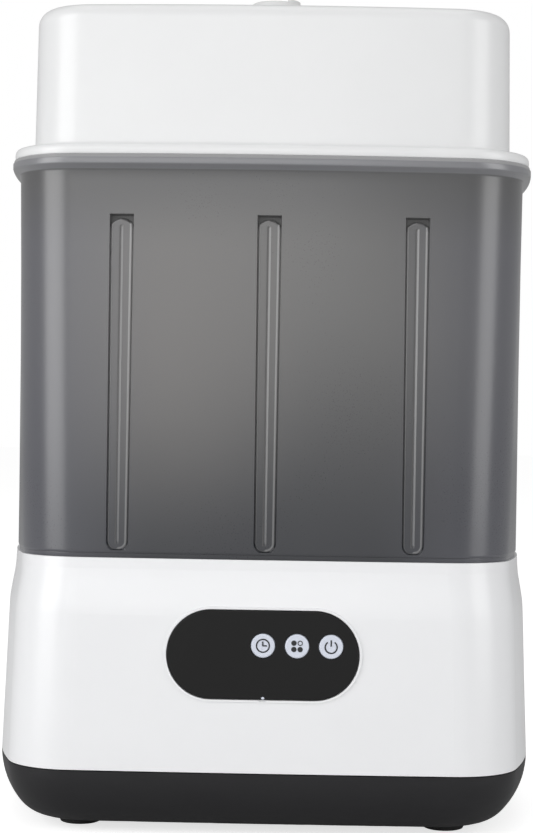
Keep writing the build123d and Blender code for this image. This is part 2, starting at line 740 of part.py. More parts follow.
clamp_top_z = DECK_UNDER_Z - plate_boss
clamp_foot_z = element_z
clamp_leg_r = PLATE_WALL_R + 2.4
clamp_toe_r = HEATER_R + HEATER_TUBE_R + FIT_GAP
with BuildPart() as clamp_ring:
    with BuildSketch(Plane.XY.offset(clamp_top_z)):
        with Locations((0, PLATE_Y)):
            Circle(PLATE_FLANGE_R + 5)
            Circle(PLATE_WALL_R + 2, mode=Mode.SUBTRACT)
    extrude(amount=-CLAMP_METAL)
    for turn in range(STUDS):
        angle = radians(90 + 360 / STUDS * turn)
        leg_plane = Plane(
            origin=(0, PLATE_Y, 0),
            x_dir=(cos(angle), sin(angle), 0),
            z_dir=(sin(angle), -cos(angle), 0),
        )
        with BuildSketch(leg_plane):
            with BuildLine():
                Polyline(
                    (clamp_leg_r, clamp_top_z),
                    (clamp_leg_r + CLAMP_METAL, clamp_top_z),
                    (clamp_leg_r + CLAMP_METAL, clamp_foot_z - CLAMP_METAL),
                    (clamp_toe_r, clamp_foot_z - CLAMP_METAL),
                    (clamp_toe_r, clamp_foot_z),
                    (clamp_leg_r, clamp_foot_z),
                    close=True,
                )
            make_face()
        extrude(amount=CLAMP_LEG / 2, both=True)
    with BuildSketch(Plane.XY.offset(clamp_foot_z)):
        with Locations((0, PLATE_Y)):
            with PolarLocations(stud_ring_r, STUDS, start_angle=90):
                Circle(STUD_R + SLIDE_GAP)
    extrude(amount=-2 * CLAMP_METAL, mode=Mode.SUBTRACT)
save(clamp_ring, "clamp_ring")

with BuildPart() as clamp_nuts:
    with BuildSketch(Plane.XY.offset(clamp_foot_z - CLAMP_METAL)):
        with Locations((0, PLATE_Y)):
            with PolarLocations(stud_ring_r, STUDS, start_angle=90):
                RegularPolygon(NUT_ACROSS / 2, 6, major_radius=False)
                Circle(STUD_R + SCREW_GAP, mode=Mode.SUBTRACT)
    extrude(amount=-NUT_HEIGHT)
save(clamp_nuts, "clamp_nuts")

with BuildPart() as thermostats:
    with BuildSketch(Plane.XY.offset(element_z)):
        with Locations((-THERMOSTAT_X, PLATE_Y), (THERMOSTAT_X, PLATE_Y)):
            Circle(THERMOSTAT_R)
    extrude(amount=-THERMOSTAT_HEIGHT)
    with BuildSketch(Plane.XY.offset(element_z)):
        with Locations((-THERMOSTAT_X, PLATE_Y), (THERMOSTAT_X, PLATE_Y)):
            SlotOverall(2 * THERMOSTAT_R + 10, 5, rotation=90)
    extrude(amount=-1)
    with BuildSketch(Plane.XY.offset(element_z - THERMOSTAT_HEIGHT)):
        with Locations((-THERMOSTAT_X, PLATE_Y), (THERMOSTAT_X, PLATE_Y)):
            with GridLocations(9, 0, 2, 1):
                Rectangle(0.8, 6.3)
    extrude(amount=-7)
save(thermostats, "thermostats")


# Control panel: black lens, three sprung buttons, the board behind them with switches and display
button_places = [(BUTTON_PITCH * step, BUTTON_RISE) for step in range(3)]
button_names = ["button_timer", "button_mode", "button_power"]
switch_top_depth = PANEL_LENS + BUTTON_FLANGE + 3.2
switch_height = BOARD_DEPTH - switch_top_depth - BUTTON_TRAVEL - SLIDE_GAP

with BuildPart() as control_panel:
    with BuildSketch(panel_plane.offset(-PANEL_LENS)):
        SlotOverall(PANEL_WIDTH, PANEL_HEIGHT)
    extrude(amount=PANEL_LENS + PANEL_PROUD * 0.4)
    fillet(control_panel.faces().sort_by(Axis.Y)[0].edges(), 0.5)
    with BuildSketch(panel_plane.offset(-PANEL_LENS)):
        with Locations(*button_places):
            Circle(BUTTON_R + SLIDE_GAP)
    extrude(amount=PANEL_LENS + OVERCUT, mode=Mode.SUBTRACT)
save(control_panel, "control_panel")

for button_name, button_place in zip(button_names, button_places):
    with BuildPart() as button:
        with BuildSketch(panel_plane.offset(-PANEL_LENS)):
            with Locations(button_place):
                Circle(BUTTON_R)
        extrude(amount=PANEL_LENS + BUTTON_PROUD)
        fillet(button.faces().sort_by(Axis.Y)[0].edges(), 0.45)
        with BuildSketch(panel_plane.offset(-PANEL_LENS)):
            with Locations(button_place):
                Circle(BUTTON_FLANGE_R)
        extrude(amount=-BUTTON_FLANGE)
        with BuildSketch(panel_plane.offset(-PANEL_LENS - BUTTON_FLANGE)):
            with Locations(button_place):
                Circle(STEM_R)
        extrude(amount=PANEL_LENS + BUTTON_FLANGE - switch_top_depth)
    save(button, button_name)

with BuildPart() as control_board:
    with BuildSketch(panel_plane.offset(-BOARD_DEPTH)):
        RectangleRounded(BOARD_WIDTH, BOARD_HEIGHT, 3)
        with Locations(*board_post_places):
            Circle(BOARD_SCREW_R + SLIDE_GAP, mode=Mode.SUBTRACT)
    extrude(amount=-BOARD)
save(control_board, "control_board")

with BuildPart() as key_switches:
    with BuildSketch(panel_plane.offset(-BOARD_DEPTH)):
        with Locations(*button_places):
            Rectangle(SWITCH_SIDE, SWITCH_SIDE)
    extrude(amount=switch_height - 1)
    with BuildSketch(panel_plane.offset(-BOARD_DEPTH + switch_height - 1)):
        with Locations(*button_places):
            Circle(1.7)
    extrude(amount=1)
save(key_switches, "key_switches")

display_places = [(-PANEL_WIDTH / 4, 0)]
with BuildPart() as display_module:
    with BuildSketch(panel_plane.offset(-BOARD_DEPTH)):
        with Locations(*display_places):
            Rectangle(DISPLAY_WIDTH, DISPLAY_HEIGHT)
    extrude(amount=BOARD_DEPTH - PANEL_LENS - SLIDE_GAP)
    chamfer(display_module.faces().sort_by(Axis.Y)[0].edges(), 0.6)
save(display_module, "display_module")

with BuildPart() as board_screws:
    with BuildSketch(panel_plane.offset(-BOARD_DEPTH - BOARD)):
        with Locations(*board_post_places):
            Circle(BOARD_SCREW_R)
    extrude(amount=BOARD + BOARD_DEPTH - PANEL_PAD - 0.5)
    with BuildSketch(panel_plane.offset(-BOARD_DEPTH - BOARD)):
        with Locations(*board_post_places):
            Circle(2 * BOARD_SCREW_R)
    extrude(amount=-1.4)
    with BuildSketch(Plane.XY.offset(FLOOR_Z + POWER_STANDOFF + BOARD)):
        with Locations(power_place):
            with GridLocations(*power_hole_pitch, 2, 2):
                Circle(BOARD_SCREW_R)
    extrude(amount=-POWER_STANDOFF)
    with BuildSketch(Plane.XY.offset(FLOOR_Z + POWER_STANDOFF + BOARD)):
        with Locations(power_place):
            with GridLocations(*power_hole_pitch, 2, 2):
                Circle(2 * BOARD_SCREW_R)
    extrude(amount=1.4)
save(board_screws, "board_screws")


# Power board with its relay, transformer, capacitor, varistor and terminal block
power_z = FLOOR_Z + POWER_STANDOFF
power_top = Plane.XY.offset(power_z + BOARD)
with BuildPart() as power_board:
    with BuildSketch(Plane.XY.offset(power_z)):
        with Locations(power_place):
            RectangleRounded(POWER_WIDTH, POWER_DEPTH, 2)
            with GridLocations(*power_hole_pitch, 2, 2):
                Circle(BOARD_SCREW_R + SLIDE_GAP, mode=Mode.SUBTRACT)
    extrude(amount=BOARD)
save(power_board, "power_board")

with BuildPart() as power_components:
    for (width, depth, height), place in (
        (TRANSFORMER, (POWER_X - 16, POWER_Y + 14)),
        (RELAY, (POWER_X + 12, POWER_Y + 12)),
        (TERMINALS, (POWER_X + 25, POWER_Y - 10)),
    ):
        with BuildSketch(power_top):
            with Locations(place):
                Rectangle(width, depth)
        extrude(amount=height)
    with BuildSketch(power_top):
        with Locations((POWER_X - 18, POWER_Y - 12)):
            Circle(CAPACITOR_R)
    extrude(amount=CAPACITOR_HEIGHT)
    with BuildSketch(power_top):
        with Locations((POWER_X + 4, POWER_Y - 10)):
            SlotOverall(*VARISTOR[:2])
    extrude(amount=VARISTOR[2])
save(power_components, "power_components")


# Blower: scroll housing, its cover with the inlet ring, wheel, shaft and motor
def scroll_face(shrink, neck_top):
    """Return the scroll's outline, four arcs of falling radius and the neck, this far inside."""
    radii = [SCROLL_R - SCROLL_STEP * turn - shrink for turn in range(4)]
    centres = [
        (0, 0),
        (0, -SCROLL_STEP),
        (-SCROLL_STEP, -SCROLL_STEP),
        (-SCROLL_STEP, 0),
    ]
    tongue_x = TONGUE_X + shrink
    tongue_angle = degrees(acos((tongue_x + SCROLL_STEP) / radii[3]))
    tongue_z = radii[3] * sin(radians(tongue_angle))
    with BuildSketch() as sketch:
        with BuildLine():
            for turn in range(3):
                CenterArc(centres[turn], radii[turn], -90 * turn, -90)
            CenterArc(centres[3], radii[3], 90, tongue_angle - 90)
            Polyline(
                (tongue_x, tongue_z),
                (tongue_x, neck_top),
                (radii[0], neck_top),
                (radii[0], 0),
            )
        make_face()
    return sketch.sketch


scroll_back = front_facing(BLOWER_X, BLOWER_REAR_Y, BLOWER_Z)
scroll_depth = BLOWER_REAR_Y - BLOWER_FRONT_Y
leg_height = BLOWER_Z - SCROLL_R - FLOOR_Z
with BuildPart() as blower_housing:
    with BuildSketch(scroll_back):
        add(scroll_face(0, NECK_TOP))
    extrude(amount=scroll_depth)
    with BuildSketch(front_facing(BLOWER_X, BLOWER_FRONT_Y, BLOWER_Z)):
        with Locations((0, -SCROLL_R - leg_height / 2 + 2)):
            Rectangle(30, leg_height + 4)
    extrude(amount=-scroll_depth / 2)
    with BuildSketch(scroll_back):
        add(scroll_face(SCROLL_WALL, NECK_TOP + OVERCUT))
    extrude(amount=scroll_depth - SCROLL_WALL, mode=Mode.SUBTRACT)
    with BuildSketch(front_facing(BLOWER_X, BLOWER_FRONT_Y, BLOWER_Z)):
        Circle(3.5)
    extrude(amount=-SCROLL_WALL, mode=Mode.SUBTRACT)
save(blower_housing, "blower_housing")

with BuildPart() as blower_cover:
    with BuildSketch(front_facing(BLOWER_X, BLOWER_BACK_Y, BLOWER_Z)):
        add(scroll_face(0, NECK_TOP))
        Circle(INLET_R, mode=Mode.SUBTRACT)
    extrude(amount=BLOWER_COVER)
    with BuildSketch(scroll_back):
        Circle(INLET_R + 1.4)
        Circle(INLET_R, mode=Mode.SUBTRACT)
    extrude(amount=1.6)
save(blower_cover, "blower_cover")

wheel_front_y = BLOWER_FRONT_Y + SCROLL_WALL + WHEEL_GAP / 2
wheel_width = scroll_depth - SCROLL_WALL - 1.6 - WHEEL_GAP
wheel_disc = 1.2
wheel_plane = front_facing(BLOWER_X, wheel_front_y, BLOWER_Z)
with BuildPart() as impeller:
    with BuildSketch(wheel_plane):
        Circle(WHEEL_R)
    extrude(amount=-wheel_disc)
    with BuildSketch(wheel_plane):
        Circle(5)
    extrude(amount=-wheel_width * 0.6)
    with BuildSketch(wheel_plane):
        with PolarLocations(0, BLADES):
            with BuildLine():
                ThreePointArc((WHEEL_EYE_R, 0), (WHEEL_EYE_R + 2.2, 0.7), (WHEEL_R - 0.2, 2.6))
                Line((WHEEL_R - 0.2, 2.6), (WHEEL_R - 0.7, 2.6 + BLADE))
                ThreePointArc((WHEEL_R - 0.7, 2.6 + BLADE), (WHEEL_EYE_R + 1.9, 0.7 + BLADE), (WHEEL_EYE_R, BLADE))
                Line((WHEEL_EYE_R, BLADE), (WHEEL_EYE_R, 0))
            make_face()
    extrude(amount=-wheel_width)
    with BuildSketch(front_facing(BLOWER_X, wheel_front_y + wheel_width, BLOWER_Z)):
        Circle(WHEEL_R)
        Circle(WHEEL_EYE_R, mode=Mode.SUBTRACT)
    extrude(amount=1.2)
    with BuildSketch(wheel_plane):
        Circle(SHAFT_R + SCREW_GAP / 2)
    extrude(amount=-wheel_width, mode=Mode.SUBTRACT)
save(impeller, "impeller")

with BuildPart() as motor_shaft:
    with BuildSketch(front_facing(BLOWER_X, wheel_front_y + wheel_width * 0.6, BLOWER_Z)):
        Circle(SHAFT_R)
    extrude(amount=wheel_width * 0.6 + wheel_front_y - BLOWER_FRONT_Y + MOTOR_LENGTH + 2)
save(motor_shaft, "motor_shaft")

with BuildPart() as blower_motor:
    with BuildSketch(front_facing(BLOWER_X, BLOWER_FRONT_Y, BLOWER_Z)):
        Circle(MOTOR_R)
    extrude(amount=MOTOR_LENGTH)
    fillet(blower_motor.edges().group_by(Axis.Y)[0], 2)
    with BuildSketch(front_facing(BLOWER_X, BLOWER_FRONT_Y - MOTOR_LENGTH, BLOWER_Z)):
        Circle(4)
    extrude(amount=3)
    with BuildSketch(front_facing(BLOWER_X, BLOWER_FRONT_Y, BLOWER_Z)):
        Circle(SHAFT_R + SCREW_GAP)
    extrude(amount=MOTOR_LENGTH + 3, mode=Mode.SUBTRACT)
save(blower_motor, "blower_motor")


# Air heater on the blower's neck, the duct above it and the outlet cap on the deck
heater_width = SCROLL_R - TONGUE_X
heater_depth = BLOWER_BACK_Y - BLOWER_FRONT_Y
heater_y = (BLOWER_BACK_Y + BLOWER_FRONT_Y) / 2
heater_top_z = NECK_Z + HEATER_HEIGHT
core_width = heater_width - 2 * HEATER_WALL
core_depth = heater_depth - 2 * HEATER_WALL
with BuildPart() as heater_frame:
    with BuildSketch(Plane.XY.offset(NECK_Z)):
        with Locations((0, heater_y)):
            Rectangle(heater_width, heater_depth)
            Rectangle(core_width, core_depth, mode=Mode.SUBTRACT)
    extrude(amount=HEATER_HEIGHT)
save(heater_frame, "heater_frame")

with BuildPart() as heater_core:
    with BuildSketch(Plane.XY.offset(NECK_Z + 1)):
        with Locations((0, heater_y)):
            with GridLocations(core_width / FINS, 0, FINS, 1):
                Rectangle(FIN, core_depth)
            with GridLocations(0, core_depth / 2, 1, 2):
                Rectangle(core_width, PTC_BAR)
    extrude(amount=HEATER_HEIGHT - 2)
save(heater_core, "heater_core")

duct_top_z = DECK_UNDER_Z
with BuildPart() as air_duct:
    with BuildSketch(Plane.XY.offset(heater_top_z)):
        with Locations((0, heater_y)):
            Rectangle(heater_width, heater_depth)
    with BuildSketch(Plane.XY.offset(duct_top_z)):
        with Locations((0, OUTLET_Y)):
            Rectangle(OUTLET_WIDTH + 2 * DUCT_WALL, OUTLET_DEPTH + 2 * DUCT_WALL)
    loft(ruled=True)
    with BuildSketch(Plane.XY.offset(duct_top_z)):
        with Locations((0, OUTLET_Y)):
            Rectangle(OUTLET_WIDTH + 8, OUTLET_DEPTH + 6)
    extrude(amount=-DUCT_WALL)
    with BuildSketch(Plane.XY.offset(heater_top_z)):
        with Locations((0, heater_y)):
            Rectangle(core_width, core_depth)
    with BuildSketch(Plane.XY.offset(duct_top_z)):
        with Locations((0, OUTLET_Y)):
            Rectangle(OUTLET_WIDTH, OUTLET_DEPTH)
    loft(ruled=True, mode=Mode.SUBTRACT)
save(air_duct, "air_duct")

cap_wall = 1.6
with BuildPart() as outlet_cap:
    with BuildSketch(Plane.XY.offset(DECK_Z)):
        with Locations((0, OUTLET_Y)):
            Rectangle(OUTLET_WIDTH + 6, OUTLET_DEPTH + 5)
    extrude(amount=OUTLET_CAP_HEIGHT)
    fillet(outlet_cap.edges().filter_by(Axis.Z), 4)
    fillet(outlet_cap.edges().group_by(Axis.Z)[-1], 3)
    with BuildSketch(Plane.XY.offset(DECK_Z)):
        with Locations((0, OUTLET_Y)):
            Rectangle(OUTLET_WIDTH - 2 * cap_wall, OUTLET_DEPTH - 2 * cap_wall)
    extrude(amount=OUTLET_CAP_HEIGHT - cap_wall, mode=Mode.SUBTRACT)
    with BuildSketch(Plane.XY.offset(DECK_Z)):
        with Locations((0, OUTLET_Y)):
            Rectangle(OUTLET_WIDTH - 2 * SLIDE_GAP, OUTLET_DEPTH - 2 * SLIDE_GAP)
            Rectangle(OUTLET_WIDTH - 2 * cap_wall, OUTLET_DEPTH - 2 * cap_wall, mode=Mode.SUBTRACT)
    extrude(amount=-DECK)
    with BuildSketch(front_facing(0, OUTLET_Y, DECK_Z + OUTLET_CAP_HEIGHT / 2 - 0.5)):
        with GridLocations((OUTLET_WIDTH - 8) / OUTLET_SLOTS, 0, OUTLET_SLOTS, 1):
            Rectangle(2.4, OUTLET_CAP_HEIGHT - 6)
    extrude(amount=OUTLET_DEPTH, mode=Mode.SUBTRACT)
save(outlet_cap, "outlet_cap")


# Chamber sleeve: smoke grey wall with a rim band and three pressed channels front and back
def sleeve_point(x, z, side):
    """Return the point of the sleeve's front (side -1) or back (side 1) face at x and z."""
    level = sleeve_level(z)
    return Vector(x, side * (level.half_depth - sagitta(level.front_r, x)), z)


def channel_plane(x, side):
    """Return the plane that lies on the sleeve's face at the middle of a channel, facing out."""
    low = sleeve_point(x, CHANNEL_BOTTOM_Z, side)
    high = sleeve_point(x, CHANNEL_TOP_Z, side)
    middle = (low + high) * 0.5
    slope = -side * x / sleeve_level(middle.Z).front_r
    across = Vector(-side, -side * slope, 0)
    return Plane(origin=middle, x_dir=across, z_dir=across.cross(high - low))


def channel_face(margin):
    """Return a channel's outline, square at the top and round at the bottom, this much larger."""
    half_top = CHANNEL_TOP_WIDTH / 2 + margin
    half_bottom = CHANNEL_BOTTOM_WIDTH / 2 + margin
    half_height = (CHANNEL_TOP_Z - CHANNEL_BOTTOM_Z) / 2 + margin
    with BuildSketch() as sketch:
        with BuildLine():
            Polyline(
                (-half_top, half_height),
                (half_top, half_height),
                (half_bottom, -half_height),
                (-half_bottom, -half_height),
                close=True,
            )
        make_face()
        fillet(sketch.vertices().group_by(Axis.Y)[0], half_bottom * 0.9)
    return sketch.sketch


def bar_face():
    """Return the outline of the raised bar in a channel: arched top, round bottom."""
    half_top = CHANNEL_TOP_WIDTH / 2 - BAR_GAP
    half_bottom = CHANNEL_BOTTOM_WIDTH / 2 - BAR_GAP
    bottom = (CHANNEL_BOTTOM_Z - CHANNEL_TOP_Z) / 2 + BAR_GAP
    top = (CHANNEL_TOP_Z - CHANNEL_BOTTOM_Z) / 2 - BAR_TOP_GAP
    with BuildSketch() as sketch:
        with BuildLine():
            ThreePointArc((-half_top, top - BAR_ARCH), (0, top), (half_top, top - BAR_ARCH))
            Polyline(
                (half_top, top - BAR_ARCH),
                (half_bottom, bottom),
                (-half_bottom, bottom),
                (-half_top, top - BAR_ARCH),
            )
        make_face()
        fillet(sketch.vertices().group_by(Axis.Y)[0], half_bottom * 0.9)
    return sketch.sketch


rim_level = sleeve_level(RIM_Z).inward(-RIM_OUT)
rim_bottom_z = RIM_Z - RIM_BAND
rim_under_z = rim_bottom_z - RIM_SLOPE
rim_root = SLEEVE_WALL / 2
rim_root_level = sleeve_level(RIM_Z).inward(rim_root).at(rim_under_z - RIM_SLOPE * rim_root / RIM_OUT)
with BuildPart() as sleeve_rim:
    add(body_through([rim_root_level, rim_level.at(rim_bottom_z)], ruled=True))
    with BuildSketch(Plane.XY.offset(rim_bottom_z)):
        add(rim_level.face())
    extrude(amount=RIM_BAND)
    fillet(sleeve_rim.edges().group_by(Axis.Z)[-1], RIM_ROUND)

sleeve_outside = body_through([sleeve_level(DECK_Z), sleeve_level(RIM_Z)])
sleeve_inside = body_through(
    [sleeve_level(DECK_Z).inward(SLEEVE_WALL), sleeve_level(RIM_Z).inward(SLEEVE_WALL)]
)
channel_planes = [channel_plane(x, side) for side in (-1, 1) for x in channel_places]
bar_height = CHANNEL_TOP_Z - CHANNEL_BOTTOM_Z - 2 * BAR_TOP_GAP - BAR_ARCH
with BuildPart() as chamber_sleeve:
    add(sleeve_outside)
    add(sleeve_rim.part)
    add(sleeve_inside, mode=Mode.SUBTRACT)
    for channel in channel_planes:
        with BuildSketch(channel.offset(-SLEEVE_WALL / 2)):
            add(channel_face(PAD_MARGIN))
        extrude(amount=-SLEEVE_WALL / 2 - CHANNEL_PAD)
        with BuildSketch(channel.offset(-CHANNEL_DEPTH)):
            add(channel_face(0))
        extrude(amount=CHANNEL_DEPTH + OVERCUT, mode=Mode.SUBTRACT)
        with BuildSketch(channel.offset(-CHANNEL_DEPTH)):
            add(bar_face())
        extrude(amount=BAR_HEIGHT, taper=BAR_TAPER)
        with BuildSketch(channel.offset(-CHANNEL_DEPTH + BAR_HEIGHT)):
            with Locations((0, -BAR_TOP_GAP / 2)):
                SlotOverall(bar_height - 4, RIDGE_WIDTH, rotation=90)
        extrude(amount=RIDGE_HEIGHT, taper=BAR_TAPER)
    foot_outside = sleeve_level(DECK_Z).inward(-OVERCUT)
    add(wall_ring(foot_outside, OVERCUT + SLEEVE_STEP, SLEEVE_FOOT), mode=Mode.SUBTRACT)
save(chamber_sleeve, "chamber_sleeve")


# Lid: flange on the rim, drafted walls, rounded top, a skirt inside the sleeve and the vent hole
flange_level = rim_level.inward(LID_FLANGE_INSET)
lid_bottom_level = Level(RIM_Z, LID_INSET, RIM_FRONT_R, RIM_SIDE_R, LID_CORNER_R, LID_NARROWING)
skirt_level = sleeve_level(RIM_Z).inward(SLEEVE_WALL + FIT_GAP)
flange_top_z = RIM_Z + LID_FLANGE
with BuildPart() as lid_outside:
    with BuildSketch(Plane.XY.offset(RIM_Z)):
        add(flange_level.face())
    extrude(amount=LID_FLANGE)
    fillet(lid_outside.edges().group_by(Axis.Z)[-1], LID_FLANGE_ROUND)
    add(body_through([lid_bottom_level.at(flange_top_z - 1), lid_bottom_level.inward(LID_DRAFT).at(LID_Z)]))
    fillet(lid_outside.edges().group_by(Axis.Z)[-1], LID_TOP_ROUND)
    wall_edges = lid_outside.edges().filter_by_position(Axis.Z, flange_top_z - 0.1, flange_top_z + 0.1)
    neck_reach = flange_level.half_width - LID_FLANGE_ROUND - 1
    fillet([edge for edge in wall_edges if edge.bounding_box().max.X < neck_reach], LID_NECK_ROUND)

with BuildPart() as lid_inside:
    inside_bottom = lid_bottom_level.inward(LID_WALL)
    add(body_through([inside_bottom, inside_bottom.inward(LID_DRAFT).at(LID_Z - LID_WALL)]))
    fillet(lid_inside.edges().group_by(Axis.Z)[-1], LID_TOP_ROUND - LID_WALL)

with BuildPart() as lid:
    add(lid_outside.part)
    add(lid_inside.part, mode=Mode.SUBTRACT)
    add(wall_ring(skirt_level.at(RIM_Z - SKIRT_DEPTH), SKIRT_WALL, SKIRT_DEPTH + LID_FLANGE / 2))
    with BuildSketch(Plane.XY.offset(LID_Z - LID_WALL)):
        Circle(KNOB_STEM_R + SLIDE_GAP)
    extrude(amount=LID_WALL, mode=Mode.SUBTRACT)
save(lid, "lid")

knob_cap_z = LID_Z + KNOB_BASE_HEIGHT
knob_top_z = KNOB_Z - KNOB_TAB
with BuildPart() as vent_knob:
    with BuildSketch(Plane.XY.offset(LID_Z)):
        Circle(KNOB_BASE_R)
    extrude(amount=KNOB_BASE_HEIGHT)
    with BuildSketch(Plane.XY.offset(knob_cap_z)):
        Circle(KNOB_R)
    extrude(amount=knob_top_z - knob_cap_z)
    fillet(vent_knob.edges().group_by(Axis.Z)[-1], 3)
    with BuildSketch(Plane.XY.offset(knob_top_z - 3)):
        Circle(KNOB_R - 1)
        with Locations((-KNOB_R + 6, 0)):
            Rectangle(2 * KNOB_R, 2 * KNOB_R, mode=Mode.SUBTRACT)
    extrude(amount=3 + KNOB_TAB)
    with BuildSketch(Plane.XY.offset(LID_Z - LID_WALL - 3)):
        Circle(KNOB_STEM_R)
    extrude(amount=LID_WALL + 3)
    with BuildSketch(Plane.XY.offset(LID_Z - LID_WALL - 3)):
        Circle(KNOB_STEM_R - KNOB_WALL)
    extrude(amount=LID_WALL + 3 + KNOB_BASE_HEIGHT + 2, mode=Mode.SUBTRACT)
    with BuildSketch(Plane.XY.offset(LID_Z + 1.5)):
        with PolarLocations(KNOB_BASE_R, KNOB_PORTS):
            Rectangle(2 * KNOB_WALL + 4, 3)
    extrude(amount=KNOB_BASE_HEIGHT - 2.5, mode=Mode.SUBTRACT)
save(vent_knob, "vent_knob")

with BuildPart() as vent_clip:
    with BuildSketch(Plane.XY.offset(LID_Z - LID_WALL)):
        Circle(KNOB_STEM_R + 3)
        Circle(KNOB_STEM_R + SCREW_GAP, mode=Mode.SUBTRACT)
    extrude(amount=-1.6)
save(vent_clip, "vent_clip")


# Bottle rack: slotted floor on four legs, a rim and six finned pegs
rack_floor_z = DECK_Z + RACK_LEG
rack_level = sleeve_level(rack_floor_z).inward(SLEEVE_WALL + CHANNEL_PAD + RACK_CLEARANCE)
rack_top_z = rack_floor_z + RACK_FLOOR
peg_places = GridLocations(PEG_PITCH_X, PEG_PITCH_Y, 3, 2)
leg_places = GridLocations(2 * rack_level.half_width - 50, 2 * rack_level.half_depth - 44, 2, 2)
with BuildPart() as bottle_rack:
    with BuildSketch(Plane.XY.offset(rack_floor_z)):
        add(rack_level.face())
        with GridLocations(PEG_PITCH_X / 3, PEG_PITCH_Y / 2, 9, 4):
            Rectangle(SLOT_WIDTH, SLOT_LENGTH, mode=Mode.SUBTRACT)
        with peg_places:
            Circle(PEG_FOOT_R + 1)
    extrude(amount=RACK_FLOOR)
    add(wall_ring(rack_level.at(rack_top_z), RACK_WALL, RACK_RIM))
    with BuildSketch(Plane.XY.offset(DECK_Z)):
        with leg_places:
            Rectangle(16, 10)
            Rectangle(12, 6, mode=Mode.SUBTRACT)
    extrude(amount=RACK_LEG)
    for turn in (0, 120, 240):
        with BuildSketch(Plane.XZ.offset(-PEG_FIN / 2)) as fin:
            with BuildLine():
                Polyline(
                    (0, rack_top_z),
                    (PEG_FOOT_R, rack_top_z),
                    (PEG_TIP_R + 1, rack_top_z + PEG_HEIGHT - 3),
                    (PEG_TIP_R - 1.5, rack_top_z + PEG_HEIGHT),
                    (0, rack_top_z + PEG_HEIGHT),
                    close=True,
                )
            make_face()
        with BuildPart(mode=Mode.PRIVATE) as blade:
            add(fin.sketch)
            extrude(amount=PEG_FIN, dir=(0, -1, 0))
        for place in peg_places:
            add(blade.part.rotate(Axis.Z, turn).moved(place))
save(bottle_rack, "bottle_rack")


# Accessory tray: flange on the channels' ledges, slotted basket hanging in the sleeve
tray_flange_level = sleeve_level(LEDGE_Z).inward(SLEEVE_WALL + FIT_GAP)
tray_level = sleeve_level(LEDGE_Z).inward(SLEEVE_WALL + CHANNEL_PAD + RACK_CLEARANCE)
tray_seat_z = LEDGE_Z + SEAT_GAP
tray_floor_z = tray_seat_z - TRAY_DEPTH
with BuildPart() as accessory_tray:
    with BuildSketch(Plane.XY.offset(tray_seat_z)):
        add(tray_flange_level.face())
        add(tray_level.inward(TRAY_WALL).face(), mode=Mode.SUBTRACT)
    extrude(amount=TRAY_FLANGE)
    add(wall_ring(tray_level.at(tray_floor_z), TRAY_WALL, TRAY_DEPTH))
    with BuildSketch(Plane.XY.offset(tray_floor_z)):
        add(tray_level.face())
        with GridLocations(PEG_PITCH_X / 3, PEG_PITCH_Y / 2, 9, 4):
            Rectangle(SLOT_WIDTH, SLOT_LENGTH, mode=Mode.SUBTRACT)
    extrude(amount=TRAY_WALL)
    with BuildSketch(Plane.XY.offset(tray_floor_z + TRAY_WALL)):
        with GridLocations(PEG_PITCH_X / 3 * 2, PEG_PITCH_Y, 4, 2):
            Rectangle(2, TRAY_RAIL)
    extrude(amount=18)
save(accessory_tray, "accessory_tray")
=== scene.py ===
"""Looks of a baby bottle sterilizer and dryer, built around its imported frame.

Shapes are in millimetres in the classes and are turned into metres where a mesh is made. The
finishes and the studio are in metres. The axes are the frame's: +Z up, -Y out of the side with the
buttons, origin on the floor.
"""

import logging
from dataclasses import astuple, dataclass, field, replace
from enum import Enum
from math import acos, atan2, cos, hypot, pi, radians, sin, sqrt, tan
from typing import Callable, Iterable, Mapping, Sequence

import bmesh
import bpy
from mathutils import Matrix, Vector
from mathutils.bvhtree import BVHTree
from mathutils.interpolate import poly_3d_calc


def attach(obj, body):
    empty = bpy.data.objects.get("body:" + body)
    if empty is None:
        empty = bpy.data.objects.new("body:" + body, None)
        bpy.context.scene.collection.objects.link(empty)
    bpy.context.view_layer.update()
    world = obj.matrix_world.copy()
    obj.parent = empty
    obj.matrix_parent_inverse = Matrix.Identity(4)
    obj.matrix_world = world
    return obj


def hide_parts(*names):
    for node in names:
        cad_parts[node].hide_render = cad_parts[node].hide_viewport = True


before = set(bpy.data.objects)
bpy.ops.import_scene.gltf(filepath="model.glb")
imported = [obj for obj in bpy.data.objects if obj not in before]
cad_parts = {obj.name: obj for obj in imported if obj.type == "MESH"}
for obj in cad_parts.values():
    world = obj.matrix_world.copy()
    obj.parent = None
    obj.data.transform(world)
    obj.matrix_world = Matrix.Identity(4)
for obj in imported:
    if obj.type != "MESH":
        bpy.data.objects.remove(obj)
log = logging.getLogger("sterilizer")
MM = 0.001
WELD_MM = 0.002
NEAR_MM = 0.02
FLAT_DEGREES = 0.3
Plan = tuple[float, float]
Point = tuple[float, float, float]
Colour = tuple[float, ...]
Skin = tuple[list[Point], list[tuple[int, ...]]]
Finishes = Mapping[str, bpy.types.Material]
WHITE_LIGHT = (1.0, 1.0, 1.0, 1.0)


class Body(Enum):
    """The bodies that move as one."""

    BASE = "base"
    SLEEVE = "sleeve"
    LID = "lid"
    TRAY = "tray"
    RACK = "rack"
    FILTER = "filter"
    TIMER = "button_timer"
    MODE = "button_mode"
    POWER = "button_power"


class Slot(Enum):
    """The material slots that new pieces are handed; nothing here reads them."""

    WHITE = "white_plastic"
    BLACK = "black_plastic"
    MATTE = "white_matte"
    KNOB = "knob_plastic"
    SMOKE = "smoke_plastic"
    LENS = "black_lens"
    BUTTON = "button_grey"
    RUBBER = "soft_rubber"
    PLATE = "coated_plate"


def held(value: float, low: float = 0.0, high: float = 1.0) -> float:
    """Return the value, kept between two ends."""
    return min(high, max(low, value))


